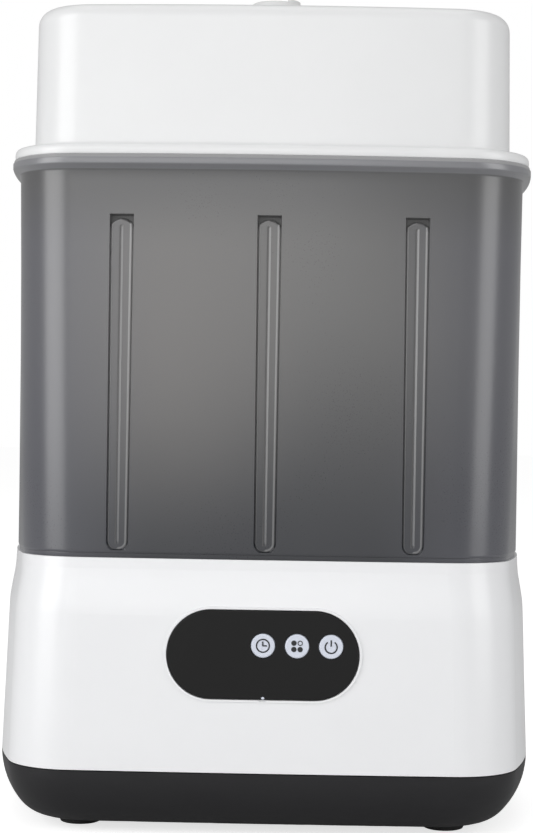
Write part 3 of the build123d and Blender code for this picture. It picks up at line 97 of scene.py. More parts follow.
def around(centre: Plan, radius: float, angles: Iterable[float]) -> list[Plan]:
    """Return the points at these angles on a circle."""
    x, y = centre
    return [(x + radius * cos(angle), y + radius * sin(angle)) for angle in angles]


def operator(operation: str, swapped: bool = False) -> Callable[..., "Value"]:
    """Make one of the methods by which values take part in sums.

    Args:
        operation: The Math node's operation.
        swapped: Whether the other number comes first.

    Returns:
        The method.
    """

    def work(self: "Value", other: "Value | float" = 0.0) -> "Value":
        """Return the result of the operation."""
        return self.board.math(operation, *((other, self) if swapped else (self, other)))

    return work


@dataclass(frozen=True)
class Value:
    """A number on a shader socket that takes part in sums as a Python number does."""

    board: "NodeBoard"
    socket: bpy.types.NodeSocket

    __add__, __radd__ = operator("ADD"), operator("ADD", swapped=True)
    __sub__, __rsub__ = operator("SUBTRACT"), operator("SUBTRACT", swapped=True)
    __mul__, __rmul__ = operator("MULTIPLY"), operator("MULTIPLY", swapped=True)
    __truediv__, __rtruediv__ = operator("DIVIDE"), operator("DIVIDE", swapped=True)
    __pow__, __rpow__ = operator("POWER"), operator("POWER", swapped=True)
    __abs__ = operator("ABSOLUTE")
    or_more = operator("MAXIMUM")


class NodeBoard:
    """The nodes of one material or world."""

    SOFT = {"interpolation_type": "SMOOTHSTEP", "clamp": True}

    def __init__(self, name: str, world: bool = False) -> None:
        """Start an empty material, or an empty world.

        Args:
            name: Its name.
            world: Whether it is a world.
        """
        self.made = (bpy.data.worlds if world else bpy.data.materials).new(name)
        self.made.use_nodes = True
        self.tree = self.made.node_tree
        self.tree.nodes.clear()

    def node(
        self,
        kind: str,
        settings: Mapping[str, object] | None = None,
        inputs: Mapping[str | int, object] | None = None,
    ) -> bpy.types.Node:
        """Make one node.

        Args:
            kind: The node's type, without the words ShaderNode in front.
            settings: Its own settings, set first.
            inputs: The value or link of each socket, by name or number.

        Returns:
            The new node.
        """
        made = self.tree.nodes.new("ShaderNode" + kind)
        for key, value in (settings or {}).items():
            setattr(made, key, value)
        for key, value in (inputs or {}).items():
            socket = made.inputs[key]
            if isinstance(value, Value):
                value = value.socket
            if isinstance(value, bpy.types.NodeSocket):
                self.tree.links.new(value, socket)
            else:
                socket.default_value = value
        return made

    def math(self, operation: str, first: Value | float, second: Value | float) -> Value:
        """Return the result of one sum on two values."""
        made = self.node("Math", {"operation": operation}, {0: first, 1: second})
        return Value(self, made.outputs[0])

    def place(self) -> bpy.types.NodeSocket:
        """Return the socket with the point's place on its own object."""
        return self.node("TexCoord").outputs["Object"]

    def along(self, place: bpy.types.NodeSocket) -> tuple[Value, ...]:
        """Return the three numbers of a place."""
        parts = self.node("SeparateXYZ", inputs={0: place}).outputs
        return tuple(Value(self, part) for part in parts)

    def noise(self, place: object, scale: float, detail: float = 2.0, rough: float = 0.5) -> Value:
        """Return soft noise from 0 to 1 with this many waves per metre."""
        sockets = {"Vector": place, "Scale": scale, "Detail": detail, "Roughness": rough}
        return Value(self, self.node("TexNoise", inputs=sockets).outputs[0])

    def cells(self, place: object, scale: float, feature: str) -> Value:
        """Return a cell pattern with this many cells per metre."""
        sockets = {"Vector": place, "Scale": scale}
        return Value(self, self.node("TexVoronoi", {"feature": feature}, sockets).outputs[0])

    def span(
        self, value: Value, low: float, high: float, start: float = 0.0, stop: float = 1.0
    ) -> Value:
        """Return the value mapped softly from low..high onto start..stop, held at both ends."""
        sockets = {0: value, 1: low, 2: high, 3: start, 4: stop}
        return Value(self, self.node("MapRange", self.SOFT, sockets).outputs[0])

    def between(self, value: Value, rise: Plan, fall: Plan) -> Value:
        """Return 1 between a soft rise and a soft fall, else 0."""
        return self.span(value, *rise) * self.span(value, *fall, 1.0, 0.0)

    def mix(self, share: Value, first: object, second: object) -> bpy.types.NodeSocket:
        """Return the colour this share of the way from the first to the second."""
        settings = {"data_type": "RGBA", "clamp_factor": True}
        return self.node("Mix", settings, {0: share, 6: first, 7: second}).outputs[2]

    def bump(self, height: Value, depth: float) -> bpy.types.NodeSocket:
        """Return the normal of a surface with this height, from 0 to 1, this many metres deep."""
        sockets = {"Height": height, "Distance": depth, "Strength": 1.0}
        return self.node("Bump", inputs=sockets).outputs[0]

    def finish(self, **sockets: object) -> bpy.types.Material:
        """Close the material with one Principled shader.

        Args:
            sockets: The shader's sockets by name, with _ for each space.

        Returns:
            The material.
        """
        named = {key.replace("_", " "): value for key, value in sockets.items()}
        shader = self.node("BsdfPrincipled", inputs=named)
        self.node("OutputMaterial", inputs={"Surface": shader.outputs[0]})
        return self.made


def scaled(colour: Colour, share: float) -> Colour:
    """Return a colour made this much lighter or darker, white at most."""
    return tuple(min(1.0, part * share) for part in colour[:3]) + (1.0,)


def grey(level: float, tint: Point = (1.0, 1.0, 1.0)) -> Colour:
    """Return the linear colour of an sRGB grey.

    Args:
        level: The grey as it is seen, from 0 to 255.
        tint: What each channel is multiplied by.

    Returns:
        Red, green, blue and 1.
    """
    share = level / 255
    linear = share / 12.92 if share <= 0.04045 else ((share + 0.055) / 1.055) ** 2.4
    return tuple(linear * part for part in tint) + (1.0,)


@dataclass(frozen=True)
class Moulded:
    """Injection moulded plastic with a fine eroded grain and slight clouding."""

    name: str
    colour: Colour
    cloud: float = 0.02  # How far the colour wanders.
    roughness: float = 0.35
    uneven: float = 0.05  # How far the roughness wanders.
    grain: float = 2200.0  # Grains per metre.
    depth: float = 0.00002
    coat: float = 0.0
    coat_roughness: float = 0.1
    specular: float = 0.5

    def material(self) -> bpy.types.Material:
        """Make the material.

        Returns:
            The finished material.
        """
        board = NodeBoard(self.name)
        place = board.place()
        clouds = board.noise(place, 24.0, 3.0)
        grains = board.noise(place, self.grain, 2.0, 0.7)
        darker, lighter = scaled(self.colour, 1 - self.cloud), scaled(self.colour, 1 + self.cloud)
        return board.finish(
            Base_Color=board.mix(board.span(clouds, 0.3, 0.7), darker, lighter),
            Roughness=self.roughness + (clouds - 0.5) * self.uneven + (grains - 0.5) * self.uneven,
            Normal=board.bump(grains, self.depth),
            Coat_Weight=self.coat,
            Coat_Roughness=self.coat_roughness,
            Specular_IOR_Level=self.specular,
        )


@dataclass(frozen=True)
class Channel:
    """One pressed channel in the sleeve's wall with its raised bar and ridge."""

    x: float
    pitch: float = 68.6
    bottom_z: float = 131.8
    top_z: float = 288.3
    top_width: float = 11.3
    bottom_width: float = 10.4
    bend_share: float = 0.9
    depth: float = 3.0
    groove: float = 1.7
    recess_drop: float = 6.5
    recess_run: float = 2.5
    slope: float = 0.45
    bar_gap: float = 0.6
    bar_top_gap: float = 1.9
    bar_arch: float = 2.4
    bar_height: float = 2.0
    bar_left: float = 0.7
    bar_right: float = 1.2
    ridge_half: float = 0.8
    ridge_left: float = 0.35
    ridge_right: float = 1.15
    ridge_height: float = 0.7
    ridge_low_gap: float = 3.8
    ridge_high_gap: float = 4.94
    pad_margin: float = 2.0
    pad_depth: float = 4.0
    pad_slope: float = 0.4
    near: tuple[float, ...] = (0.12, 0.35, 0.45, 0.6, 0.7, 0.8, 0.9, 1.3, 1.8, 2.3, 2.8, 3.2)
    edges: tuple[float, ...] = (
        -1.9, -1.6, -1.3, -1.05, -0.85, -0.7, -0.6, -0.45, -0.2, 0.0, 0.3, 0.8, 1.4, 1.6, 2.0, 2.4
    )

    def half_at(self, z: float) -> float:
        """Return half of the channel's width at a height."""
        share = held((z - self.bottom_z) / (self.top_z - self.bottom_z), -0.1, 1.1)
        return (self.bottom_width + (self.top_width - self.bottom_width) * share) / 2

    def inside(self, across: float, z: float, shrink: float, arch: float) -> float:
        """Return how far a point is inside the channel's outline.

        Args:
            across: The distance from the channel's middle.
            z: The point's height.
            shrink: How much smaller the outline is on every side.
            arch: How far its top edge falls towards the sides.

        Returns:
            The distance inside, negative outside.
        """
        half = self.half_at(z) - shrink
        side = half - abs(across)
        drop = arch * min(1.5, abs(across) / max(half, 0.1)) ** 2
        top = self.top_z - (self.bar_top_gap if arch > 0 else shrink) - drop - z
        low = z - self.bottom_z - shrink
        bend = max(half * self.bend_share, 0.1)
        reach_x = bend - side
        reach_z = bend - low
        if reach_x > 0 and reach_z > 0:
            return min(top, side, bend - hypot(reach_x, reach_z))
        return min(side, top, low)

    def height(self, x: float, z: float) -> float:
        """Return how far the wall's outside stands out of its face at a point.

        Args:
            x: The point's x.
            z: The point's height.

        Returns:
            The height, negative inwards.
        """
        across = x - self.x
        inside = self.inside(across, z, 0.0, 0.0)
        if inside <= 0:
            return 0.0
        high = held((z - self.top_z + self.recess_drop) / self.recess_run)
        floor = self.groove + (self.depth - self.groove) * high
        bar = self.inside(across, z, self.bar_gap, self.bar_arch)
        if bar <= 0:
            return -floor * min(1.0, inside / self.slope)
        run = self.bar_right if across > 0 else self.bar_left
        share = sqrt(1 - (1 - held(bar / run)) ** 2)
        level = -floor + (floor - self.depth + self.bar_height) * share
        spine = min(
            (self.ridge_half - across) / self.ridge_right,
            (self.ridge_half + across) / self.ridge_left,
            z - self.bottom_z - self.ridge_low_gap,
            self.top_z - self.ridge_high_gap - z,
        )
        return level + self.ridge_height * held(spine)

    def pad(self, x: float, z: float) -> float:
        """Return how far the wall's inside stands into the chamber at a point."""
        inside = self.inside(x - self.x, z, -self.pad_margin, 0.0)
        return self.pad_depth * held(inside / self.pad_slope)

    def columns(self, z: float) -> list[float]:
        """Return the x of the points across the channel at a height."""
        right = [*self.near, *(self.half_at(z) + step for step in self.edges)]
        return [self.x + place for place in (*(-place for place in reversed(right)), 0.0, *right)]


@dataclass(frozen=True)
class SmokePlastic:
    """Smoke grey satin plastic, with light and shade painted into its colour."""

    name: str
    middle: Colour
    low: Colour  # Painted shade, by the base.
    high: Colour  # Painted shade, under the rim.
    side: Colour  # Painted shade at the narrow ends, cool as their highlights.
    glow: Colour  # A soft patch of painted light, warmer.
    rim: Colour  # Painted light on the rim band.
    lip: Colour  # Painted highlight on its upper edge.
    lit_edge: Colour  # Painted highlights on the channels' edges.
    shade: Colour  # Deep in the channels.
    low_heights: Plan = (0.12, 0.26)  # Where the colour rises from low.
    high_heights: Plan = (0.27, 0.31)  # Where it turns to high.
    side_run: Plan = (0.04375, 0.125)  # How far out the colour turns to side.
    side_share: float = 0.8
    glow_place: Plan = (-0.045, 0.235)
    glow_flat: float = 0.7
    glow_reach: float = 0.08
    glow_share: float = 0.8
    wander: float = 0.03  # How far the colours' borders wander.
    rim_heights: Plan = (0.3092, 0.3143)  # Where the rim band and its upper edge begin.
    channel: Channel = Channel(0.0)
    edge_width: float = 0.0006  # The light on the bar's left edge; twice that on the right.
    edge_fade: Plan = (0.0047, 0.0037)  # How far below the channel's top that light fades.
    edge_run: Plan = (0.7, 1.3)  # Where it fades, as shares of its width.
    edge_light: tuple[float, ...] = (0.13, 0.25, 0.4, 0.78)  # Two heights, its share at each.
    recess_soft: float = 0.0002
    soft: float = 0.0003  # Over what width a mark fades out.
    ridge: tuple[Plan, Plan] = ((-0.0002, 0.0001), (0.0006, 0.0009))  # Its light, across.
    ridge_light: float = 0.35
    seam: tuple[Plan, Plan] = ((-0.0013, -0.001), (-0.0006, -0.0003))  # The shade beside it.
    seam_shade: float = 0.7
    ridge_ends: tuple[Plan, Plan] = ((0.0032, 0.0038), (0.0054, 0.0048))  # From the channel's ends.
    roughness: float = 0.29
    dull: float = 0.3  # How much rougher the shade is.
    uneven: float = 0.06
    cloud: float = 9.0  # Clouds per metre.
    grain: float = 1500.0  # Grains per metre.
    depth: float = 0.00002
    coat: float = 0.6
    coat_roughness: float = 0.24
    specular: float = 0.6

    def channel_marks(self, board: NodeBoard, across: Value, height: Value) -> tuple[Value, Value]:
        """Return where the channels' edges gather light, and where they lie in shade.

        Args:
            board: The material's nodes.
            across: The point's place across the wall.
            height: The point's height.

        Returns:
            The share of light and the share of shade, from 0 to 1.
        """
        channel, soft, width = self.channel, self.soft, self.edge_width
        low, high = channel.bottom_z * MM, channel.top_z * MM
        narrow, wide = channel.bottom_width / 2 * MM, channel.top_width / 2 * MM
        pitch = channel.pitch * MM
        local = across - board.math("ROUND", across / pitch, 0.0) * pitch
        side = abs(local)
        half = (height - low) * ((wide - narrow) / (high - low)) + narrow
        bend = half * channel.bend_share
        reach_x = (side - half + bend).or_more(0.0)
        reach_z = (bend - height + low).or_more(0.0)
        on_bar = bend - (reach_x * reach_x + reach_z * reach_z) ** 0.5 - channel.bar_gap * MM
        right = board.span(local, -width, width)
        edge = board.span(on_bar / (right * width + width), *self.edge_run, 1.0, 0.0)
        edge = edge * board.span(on_bar, 0.0, soft) * (right * 0.5 + 0.5)
        fade_low, fade_high = self.edge_fade
        edge = edge * board.span(height, high - fade_low, high - fade_high, 1.0, 0.0)
        starts, stops = self.ridge_ends
        rise, fall = [low + end for end in starts], [high - end for end in stops]
        ends = board.between(height, rise, fall)
        arch = (side / half) ** 2.0 * (channel.bar_arch * MM)
        over = height - high + channel.bar_top_gap * MM + arch
        recess = board.span(over, -self.recess_soft, self.recess_soft)
        recess = recess * board.span(half - side, 0.0, soft)
        recess = recess * board.span(height, high, high + soft, 1.0, 0.0)
        light = edge.or_more(board.between(local, *self.ridge) * ends * self.ridge_light)
        return light, (board.between(local, *self.seam) * ends * self.seam_shade).or_more(recess)

    def material(self) -> bpy.types.Material:
        """Make the material.

        Returns:
            The finished material.
        """
        board = NodeBoard(self.name)
        place = board.place()
        across, _, height = board.along(place)
        clouds = board.noise(place, self.cloud)
        wander = (clouds - 0.5) * self.wander
        out = board.span(abs(across) + wander, *self.side_run)
        away_x = across + wander - self.glow_place[0]
        away_z = (height - self.glow_place[1]) * self.glow_flat
        away = (away_x * away_x + away_z * away_z) ** 0.5
        light, dark = self.channel_marks(board, across, height)
        # Masks for the painted light on the rim band and the painted highlight on its lip.
        on_rim, on_lip = (
            board.span(height, start - self.soft, start + self.soft) for start in self.rim_heights
        )
        # Painted light and shade, laid over the darker low colour: the patch, the darker ends and
        # top, the channels' highlights and shade, the rim and its lip.
        colour: object = self.low
        for share, paint in (
            (board.span(height + wander, *self.low_heights), self.middle),
            (board.span(away, 0.0, self.glow_reach, self.glow_share, 0.0), self.glow),
            (out * self.side_share, self.side),
            (board.span(height + wander * 0.3, *self.high_heights), self.high),
            (light * board.span(height, *self.edge_light), self.lit_edge),
            (dark, self.shade),
            (on_rim, self.rim),
            (on_lip, self.lip),
        ):
            colour = board.mix(share, colour, paint)
        grains = board.noise(place, self.grain, rough=0.6)
        uneven = (clouds - 0.5) * self.uneven + (grains - 0.5) * self.uneven
        return board.finish(
            Base_Color=colour,
            Roughness=dark * self.dull + self.roughness + uneven,
            Normal=board.bump(grains, self.depth),
            Coat_Weight=self.coat - dark * self.coat,
            Coat_Roughness=self.coat_roughness,
            Specular_IOR_Level=self.specular,
        )


@dataclass(frozen=True)
class Worked:
    """Metal with a direction: drawn, turned or cast."""

    name: str
    colour: Colour
    roughness: float = 0.35
    stretch: Point = (1.0, 1.0, 1.0)  # How many times finer its marks are across x, y and z.
    marks: float = 900.0  # Marks per metre.
    depth: float = 0.00003
    metallic: float = 1.0
    stain: Colour = grey(110)

    def material(self) -> bpy.types.Material:
        """Make the material.

        Returns:
            The finished material.
        """
        board = NodeBoard(self.name)
        place = board.place()
        turned = board.node("Mapping", inputs={"Vector": place, "Scale": self.stretch})
        marks = board.noise(turned.outputs[0], self.marks, 3.0, 0.6)
        stains = board.noise(place, 60.0, 4.0, 0.6)
        return board.finish(
            Base_Color=board.mix(board.span(stains, 0.55, 0.8, 0.0, 0.5), self.colour, self.stain),
            Roughness=self.roughness + (marks - 0.5) * 0.25 + (stains - 0.5) * 0.15,
            Normal=board.bump(marks, self.depth),
            Metallic=self.metallic,
        )


@dataclass(frozen=True)
class BoardFinish:
    """Circuit board: solder mask over tracks, which run this many to the metre."""

    name: str
    mask: Colour
    track: Colour
    pitch: float = 260.0

    def material(self) -> bpy.types.Material:
        """Make the material.

        Returns:
            The finished material.
        """
        board = NodeBoard(self.name)
        edge = board.cells(board.place(), self.pitch, "DISTANCE_TO_EDGE")
        lines = board.span(edge, 0.04, 0.09, 1.0, 0.0)
        return board.finish(
            Base_Color=board.mix(lines, self.mask, self.track),
            Roughness=0.4 - lines * 0.12,
            Normal=board.bump(lines, 0.00003),
            Coat_Weight=0.4,
        )


@dataclass(frozen=True)
class Foam:
    """Pleated filter foam with this many pores per metre."""

    name: str
    colour: Colour
    pores: float = 900.0

    def material(self) -> bpy.types.Material:
        """Make the material.

        Returns:
            The finished material.
        """
        board = NodeBoard(self.name)
        depth = board.cells(board.place(), self.pores, "F1")
        # Painted shade: darker deep in the pores.
        pore_shade = scaled(self.colour, 0.5)
        return board.finish(
            Base_Color=board.mix(board.span(depth, 0.2, 0.8), pore_shade, self.colour),
            Roughness=0.85 + (depth - 0.5) * 0.1,
            Normal=board.bump(depth, 0.0004),
        )


FINISHES = (
    Moulded("white_shell", grey(232, (0.99, 0.995, 1.0)), 0.006, 0.3, 0.05, 1800.0, 0.000006,
            coat=0.35, coat_roughness=0.22),
    Moulded("white_base", grey(243, (0.98, 0.985, 1.0)), 0.006, 0.3, 0.05, 1800.0, 0.000006,
            coat=0.4, coat_roughness=0.2),
    Moulded("white_matte", grey(226), 0.015, 0.5, 0.08, 1500.0, 0.00003),
    Moulded("knob", grey(226), 0.01, 0.35, 0.05),
    Moulded("black_cover", grey(31, (0.98, 0.97, 1.08)), 0.06, 0.5, 0.08, 1600.0, 0.00004,
            specular=0.35),
    SmokePlastic("smoke_wall",
                 middle=grey(101, (1.01, 1.0, 0.99)),
                 low=grey(46, (0.93, 1.0, 1.22)),
                 high=grey(84, (1.0, 1.0, 1.02)),
                 side=grey(90, (0.96, 0.98, 1.16)),
                 glow=grey(109, (1.04, 1.0, 0.98)),
                 rim=grey(126, (0.99, 1.0, 1.06)),
                 lip=grey(152, (1.0, 1.0, 1.02)),
                 lit_edge=grey(190),
                 shade=grey(94)),
    Moulded("lens", grey(18), 0.03, 0.3, 0.03, 1200.0, 0.000002, coat=0.1, coat_roughness=0.12,
            specular=0.25),
    Moulded("button_cap", grey(220, (0.95, 1.0, 1.13)), 0.01, 0.34, 0.05),
    Moulded("printed_mark", grey(34, (0.9, 1.0, 1.2)), 0.04, 0.5, 0.05),
    Moulded("rubber", grey(38), 0.08, 0.75, 0.1, 900.0, 0.00005),
    Moulded("seal", grey(190, (1.0, 0.98, 0.94)), 0.03, 0.6, 0.1, 900.0, 0.00003),
    Worked("coated_plate", grey(92), 0.34, (1.0, 1.0, 0.4), 1400.0, 0.00002, 0.35, grey(70)),
    Worked("cast_metal", grey(176), 0.5, marks=500.0, depth=0.00012),
    Worked("zinc_steel", grey(190), 0.3, (1.0, 1.0, 3.0)),
    Worked("motor_can", grey(176), 0.3, (0.3, 6.0, 0.3), 1200.0),
    Moulded("phenolic", grey(52, (1.1, 0.95, 0.8)), 0.1, 0.55, 0.1),
    BoardFinish("circuit_board", grey(70, (0.35, 1.1, 0.55)), grey(96, (0.4, 1.1, 0.6))),
    Moulded("dark_part", grey(40), 0.05, 0.45, 0.08),
    Moulded("display", grey(24), 0.02, 0.2, 0.03, coat=0.5),
    Moulded("duct_grey", grey(116), 0.03, 0.5, 0.08, 1200.0, 0.00004),
    Moulded("mica_board", grey(176, (1.06, 1.0, 0.86)), 0.12, 0.6, 0.15, 700.0, 0.00006),
    Worked("heater_fins", grey(200), 0.28, (1.0, 1.0, 8.0)),
    Foam("filter_foam", grey(228)),
)


@dataclass(frozen=True)
class Outline:
    """A plan outline at one height: four bulged sides and four rounded corners."""

    z: float
    half_width: float
    half_depth: float
    front_r: float
    side_r: float
    corner_r: float

    def inward(self, amount: float) -> "Outline":
        """Return the outline this much inside."""
        return Outline(self.z, *(size - amount for size in astuple(self)[1:]))

    def at(self, z: float) -> "Outline":
        """Return the same outline at another height."""
        return replace(self, z=z)

    def plus(self, other: "Outline", share: float) -> "Outline":
        """Return this outline moved by a share of a step outline."""
        return Outline(*(a + b * share for a, b in zip(astuple(self), astuple(other))))

    def step_to(self, other: "Outline") -> "Outline":
        """Return the step from this outline to the other, per millimetre of its way."""
        run = hypot(other.half_width - self.half_width, other.z - self.z)
        return Outline(*((b - a) / run for a, b in zip(astuple(self), astuple(other))))

    def corner(self) -> Plan:
        """Find the corner's circle in the first quadrant, which touches the front's and the side's.

        Returns:
            Its centre.
        """
        front_y = self.half_depth - self.front_r
        side_x = self.half_width - self.side_r
        front_reach = self.front_r - self.corner_r
        side_reach = self.side_r - self.corner_r
        apart = hypot(side_x, front_y)
        along = (front_reach**2 - side_reach**2 + apart**2) / (2 * apart)
        off = sqrt(max(0.0, front_reach**2 - along**2))
        unit = (side_x / apart, -front_y / apart)
        foot = (along * unit[0], front_y + along * unit[1])
        choices = [(foot[0] - way * unit[1], foot[1] + way * unit[0]) for way in (-off, off)]
        return max(choices, key=sum)

    def corner_arc(self, steps: int) -> list[Plan]:
        """Divide the corner's arc in the first quadrant.

        Args:
            steps: Into how many steps.

        Returns:
            Its points, from the front's end to the side's.
        """
        x, y = self.corner()
        front = atan2(y - (self.half_depth - self.front_r), x)
        turn = atan2(y, x - (self.half_width - self.side_r)) - front
        angles = [front + turn * (step / steps) for step in range(steps + 1)]
        return around((x, y), self.corner_r, angles)

    def ring(
        self, fronts: Callable[[float], Iterable[float]], sides: int, corners: int
    ) -> list[Point]:
        """Return the outline as a ring of points, counter-clockwise from the front's left end.

        Args:
            fronts: Gives the x of the points along the front and the back, lowest first, for the x
                where the front's arc ends.
            sides: Steps along each side.
            corners: Steps round each corner.

        Returns:
            The points.
        """
        arc = self.corner_arc(corners)
        centre_y = self.half_depth - self.front_r
        line = [(x, centre_y + sqrt(self.front_r**2 - x**2)) for x in fronts(arc[0][0])]
        side_x = self.half_width - self.side_r
        reach = atan2(arc[-1][1], arc[-1][0] - side_x)
        angles = [reach * (2 * step / sides - 1) for step in range(1, sides)]
        edge = around((side_x, 0.0), self.side_r, angles)
        flat = [(x, -y) for x, y in line + arc] + edge + arc[::-1] + line[::-1]
        flat += [(-x, y) for x, y in arc]
        flat += [(-x, -y) for x, y in edge + arc[::-1]]
        return [(x, y, self.z) for x, y in flat]


@dataclass(frozen=True)
class Turn:
    """One corner of a shell's section: the outline there and how it is rounded."""

    outline: Outline
    radius: float = 0.0
    steps: int = 4


def soften(turns: Sequence[Turn]) -> list[Outline]:
    """Return the outlines of a section with its inner corners rounded.

    Args:
        turns: The corners in order.

    Returns:
        One outline for each ring of the shell.
    """
    rings: list[Outline] = []
    for index, turn in enumerate(turns):
        if turn.radius <= 0 or index in (0, len(turns) - 1):
            rings.append(turn.outline)
            continue
        back = turn.outline.step_to(turns[index - 1].outline)
        ahead = turn.outline.step_to(turns[index + 1].outline)
        angle = acos(held(back.half_width * ahead.half_width + back.z * ahead.z, -1.0, 1.0))
        tangent = turn.radius / tan(angle / 2)
        for step in range(turn.steps + 1):
            at = (pi - angle) * step / turn.steps
            rise = turn.radius * (1 - cos(at))
            ahead_share = rise / sin(angle)
            back_share = tangent - turn.radius * sin(at) - rise * cos(angle) / sin(angle)
            rings.append(turn.outline.plus(back, back_share).plus(ahead, ahead_share))
    return rings


def stand(name: str, data: bpy.types.ID) -> bpy.types.Object:
    """Put new data into the scene.

    Args:
        name: The object's name.
        data: Its mesh, lamp or camera.

    Returns:
        The object.
    """
    made = bpy.data.objects.new(name, data)
    bpy.context.scene.collection.objects.link(made)
    return made


def object_from(
    name: str, shape: Skin | bpy.types.Mesh, material: bpy.types.Material, sharp: float = 35.0
) -> bpy.types.Object:
    """Return a new object with its faces outwards and smooth.

    Args:
        name: The piece's name.
        shape: Its points and faces in millimetres, or its mesh in metres.
        material: Its material.
        sharp: Edges sharper than this many degrees stay sharp.

    Returns:
        The object, in the scene.
    """
    mesh = shape
    if not isinstance(mesh, bpy.types.Mesh):
        mesh = bpy.data.meshes.new(name)
        mesh.from_pydata([(x * MM, y * MM, z * MM) for x, y, z in shape[0]], [], shape[1])
    work = bmesh.new()
    work.from_mesh(mesh)
    bmesh.ops.recalc_face_normals(work, faces=work.faces)
    work.to_mesh(mesh)
    work.free()
    mesh.shade_smooth()
    mesh.set_sharp_from_angle(angle=radians(sharp))
    mesh.materials.clear()
    mesh.materials.append(material)
    return stand(name, mesh)


def skin_between(rings: Sequence[Sequence[Point]], closed: bool, caps: bool = False) -> Skin:
    """Return the points and faces between rings of equal length.

    Args:
        rings: The rings in order.
        closed: Whether the last ring is joined to the first.
        caps: Whether the first and last ring are filled.

    Returns:
        The points and the faces.
    """
    count = len(rings[0])
    points = [point for ring in rings for point in ring]
    faces: list[tuple[int, ...]] = []
    for low in range(len(rings) if closed else len(rings) - 1):
        under, over = low * count, (low + 1) % len(rings) * count
        for step in range(count):
            ahead = (step + 1) % count
            faces.append((under + step, under + ahead, over + ahead, over + step))
    if caps:
        faces.append(tuple(reversed(range(count))))
        faces.append(tuple(range(len(points) - count, len(points))))
    return points, faces


def joined(skins: Iterable[Skin]) -> Skin:
    """Put several skins together.

    Args:
        skins: The skins.

    Returns:
        One skin.
    """
    points: list[Point] = []
    faces: list[tuple[int, ...]] = []
    for more, sides in skins:
        faces += [tuple(len(points) + number for number in side) for side in sides]
        points += more
    return points, faces


def lathe(profile: Sequence[Plan], steps: int, centre: Plan) -> Skin:
    """Return a closed skin turned round an upright axis.

    Args:
        profile: Pairs of radius and height.
        steps: Points in each ring.
        centre: The axis' x and y.

    Returns:
        The points and the faces.
    """
    angles = [2 * pi * step / steps for step in range(steps)]
    rings = [[(*spot, z) for spot in around(centre, radius, angles)] for radius, z in profile]
    return skin_between(rings, closed=False, caps=True)


def softened_copy(
    node: str, name: str, material: bpy.types.Material, width: float, angle: float = 32.0
) -> bpy.types.Object:
    """Return a copy of a CAD node with its sharp edges broken.

    Args:
        node: The CAD node.
        name: The new piece's name.
        material: Its material.
        width: How wide the broken edges are.
        angle: Edges sharper than this are broken, in degrees.

    Returns:
        The object, in the scene.
    """
    work = bmesh.new()
    work.from_mesh(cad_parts[node].data)
    bmesh.ops.remove_doubles(work, verts=work.verts, dist=WELD_MM * MM)
    flat = radians(FLAT_DEGREES)
    bmesh.ops.dissolve_limit(
        work, angle_limit=flat, verts=work.verts, edges=work.edges, delimit=set()
    )
    mesh = bpy.data.meshes.new(name)
    work.to_mesh(mesh)
    work.free()
    made = object_from(name, mesh, material, angle)
    made.data.materials.append(material)
    bevel = made.modifiers.new("broken_edges", "BEVEL")
    bevel.width = width * MM
    bevel.segments = 1
    bevel.material = 1
    bevel.limit_method = "ANGLE"
    bevel.angle_limit = radians(angle)
    depsgraph = bpy.context.evaluated_depsgraph_get()
    final = bpy.data.meshes.new_from_object(made.evaluated_get(depsgraph))
    made.modifiers.clear()
    made.data = final
    carry_normals(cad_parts[node].data, final)
    return made


def carry_normals(source: bpy.types.Mesh, target: bpy.types.Mesh) -> None:
    """Give a softened copy the exact normals of the surfaces that it was made from.

    A broken edge, marked by the second material slot, turns from one surface's normal to the
    next one's, so it shades as a round.

    Args:
        source: The CAD node's mesh.
        target: The copy's mesh; its second material slot is emptied.
    """
    source.calc_loop_triangles()
    places = [vertex.co.copy() for vertex in source.vertices]
    normals = [corner.vector.copy() for corner in source.corner_normals]
    triangles = [(tuple(tri.vertices), tuple(tri.loops)) for tri in source.loop_triangles]
    tree = BVHTree.FromPolygons(places, [vertices for vertices, _ in triangles])

    def normal_at(place: Vector, facing: Vector | None) -> Vector:
        """Return the smooth normal at a point, of the surface that faces the given way.

        Args:
            place: The point.
            facing: Which way the surface faces, or None for the nearest one.

        Returns:
            The normal.
        """
        spot, _, index, _ = tree.find_nearest(place)
        near = tree.find_nearest_range(place, NEAR_MM * MM) if facing is not None else []
        if near:
            spot, _, index, _ = max(near, key=lambda hit: hit[1].dot(facing))
        vertices, corners = triangles[index]
        shares = poly_3d_calc([places[number] for number in vertices], spot)
        total = Vector((0.0, 0.0, 0.0))
        for share, corner in zip(shares, corners):
            total += normals[corner] * share
        return total.normalized()

    found: list[Vector] = []
    for face in target.polygons:
        facing = None if face.material_index == 1 else face.normal.copy()
        found += [normal_at(target.vertices[number].co, facing) for number in face.vertices]
    for face in target.polygons:
        face.material_index = 0
        face.use_smooth = True
    target.materials.pop(index=1)
    target.normals_split_custom_set(found)


def place_piece(piece: bpy.types.Object, body: Body, slot: Slot, *nodes: str) -> None:
    """Make a piece ride on its body and hide what it stands for.

    Args:
        piece: The piece, in place.
        body: The body that it moves with.
        slot: The slot of its finish; not used.
        nodes: The CAD nodes that it stands for.
    """
    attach(piece, body.value)
    if nodes:
        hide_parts(*nodes)
    log.info("%s rides on %s", piece.name, body.value)


@dataclass(frozen=True)
class Formed:
    """A piece that keeps its CAD node's form, with broken edges of this width."""

    node: str
    name: str
    finish: str
    width: float
    body: Body
    slot: Slot

    def build(self, finishes: Finishes) -> None:
        """Build the piece and place it."""
        piece = softened_copy(self.node, self.name, finishes[self.finish], self.width)
        place_piece(piece, self.body, self.slot, self.node)


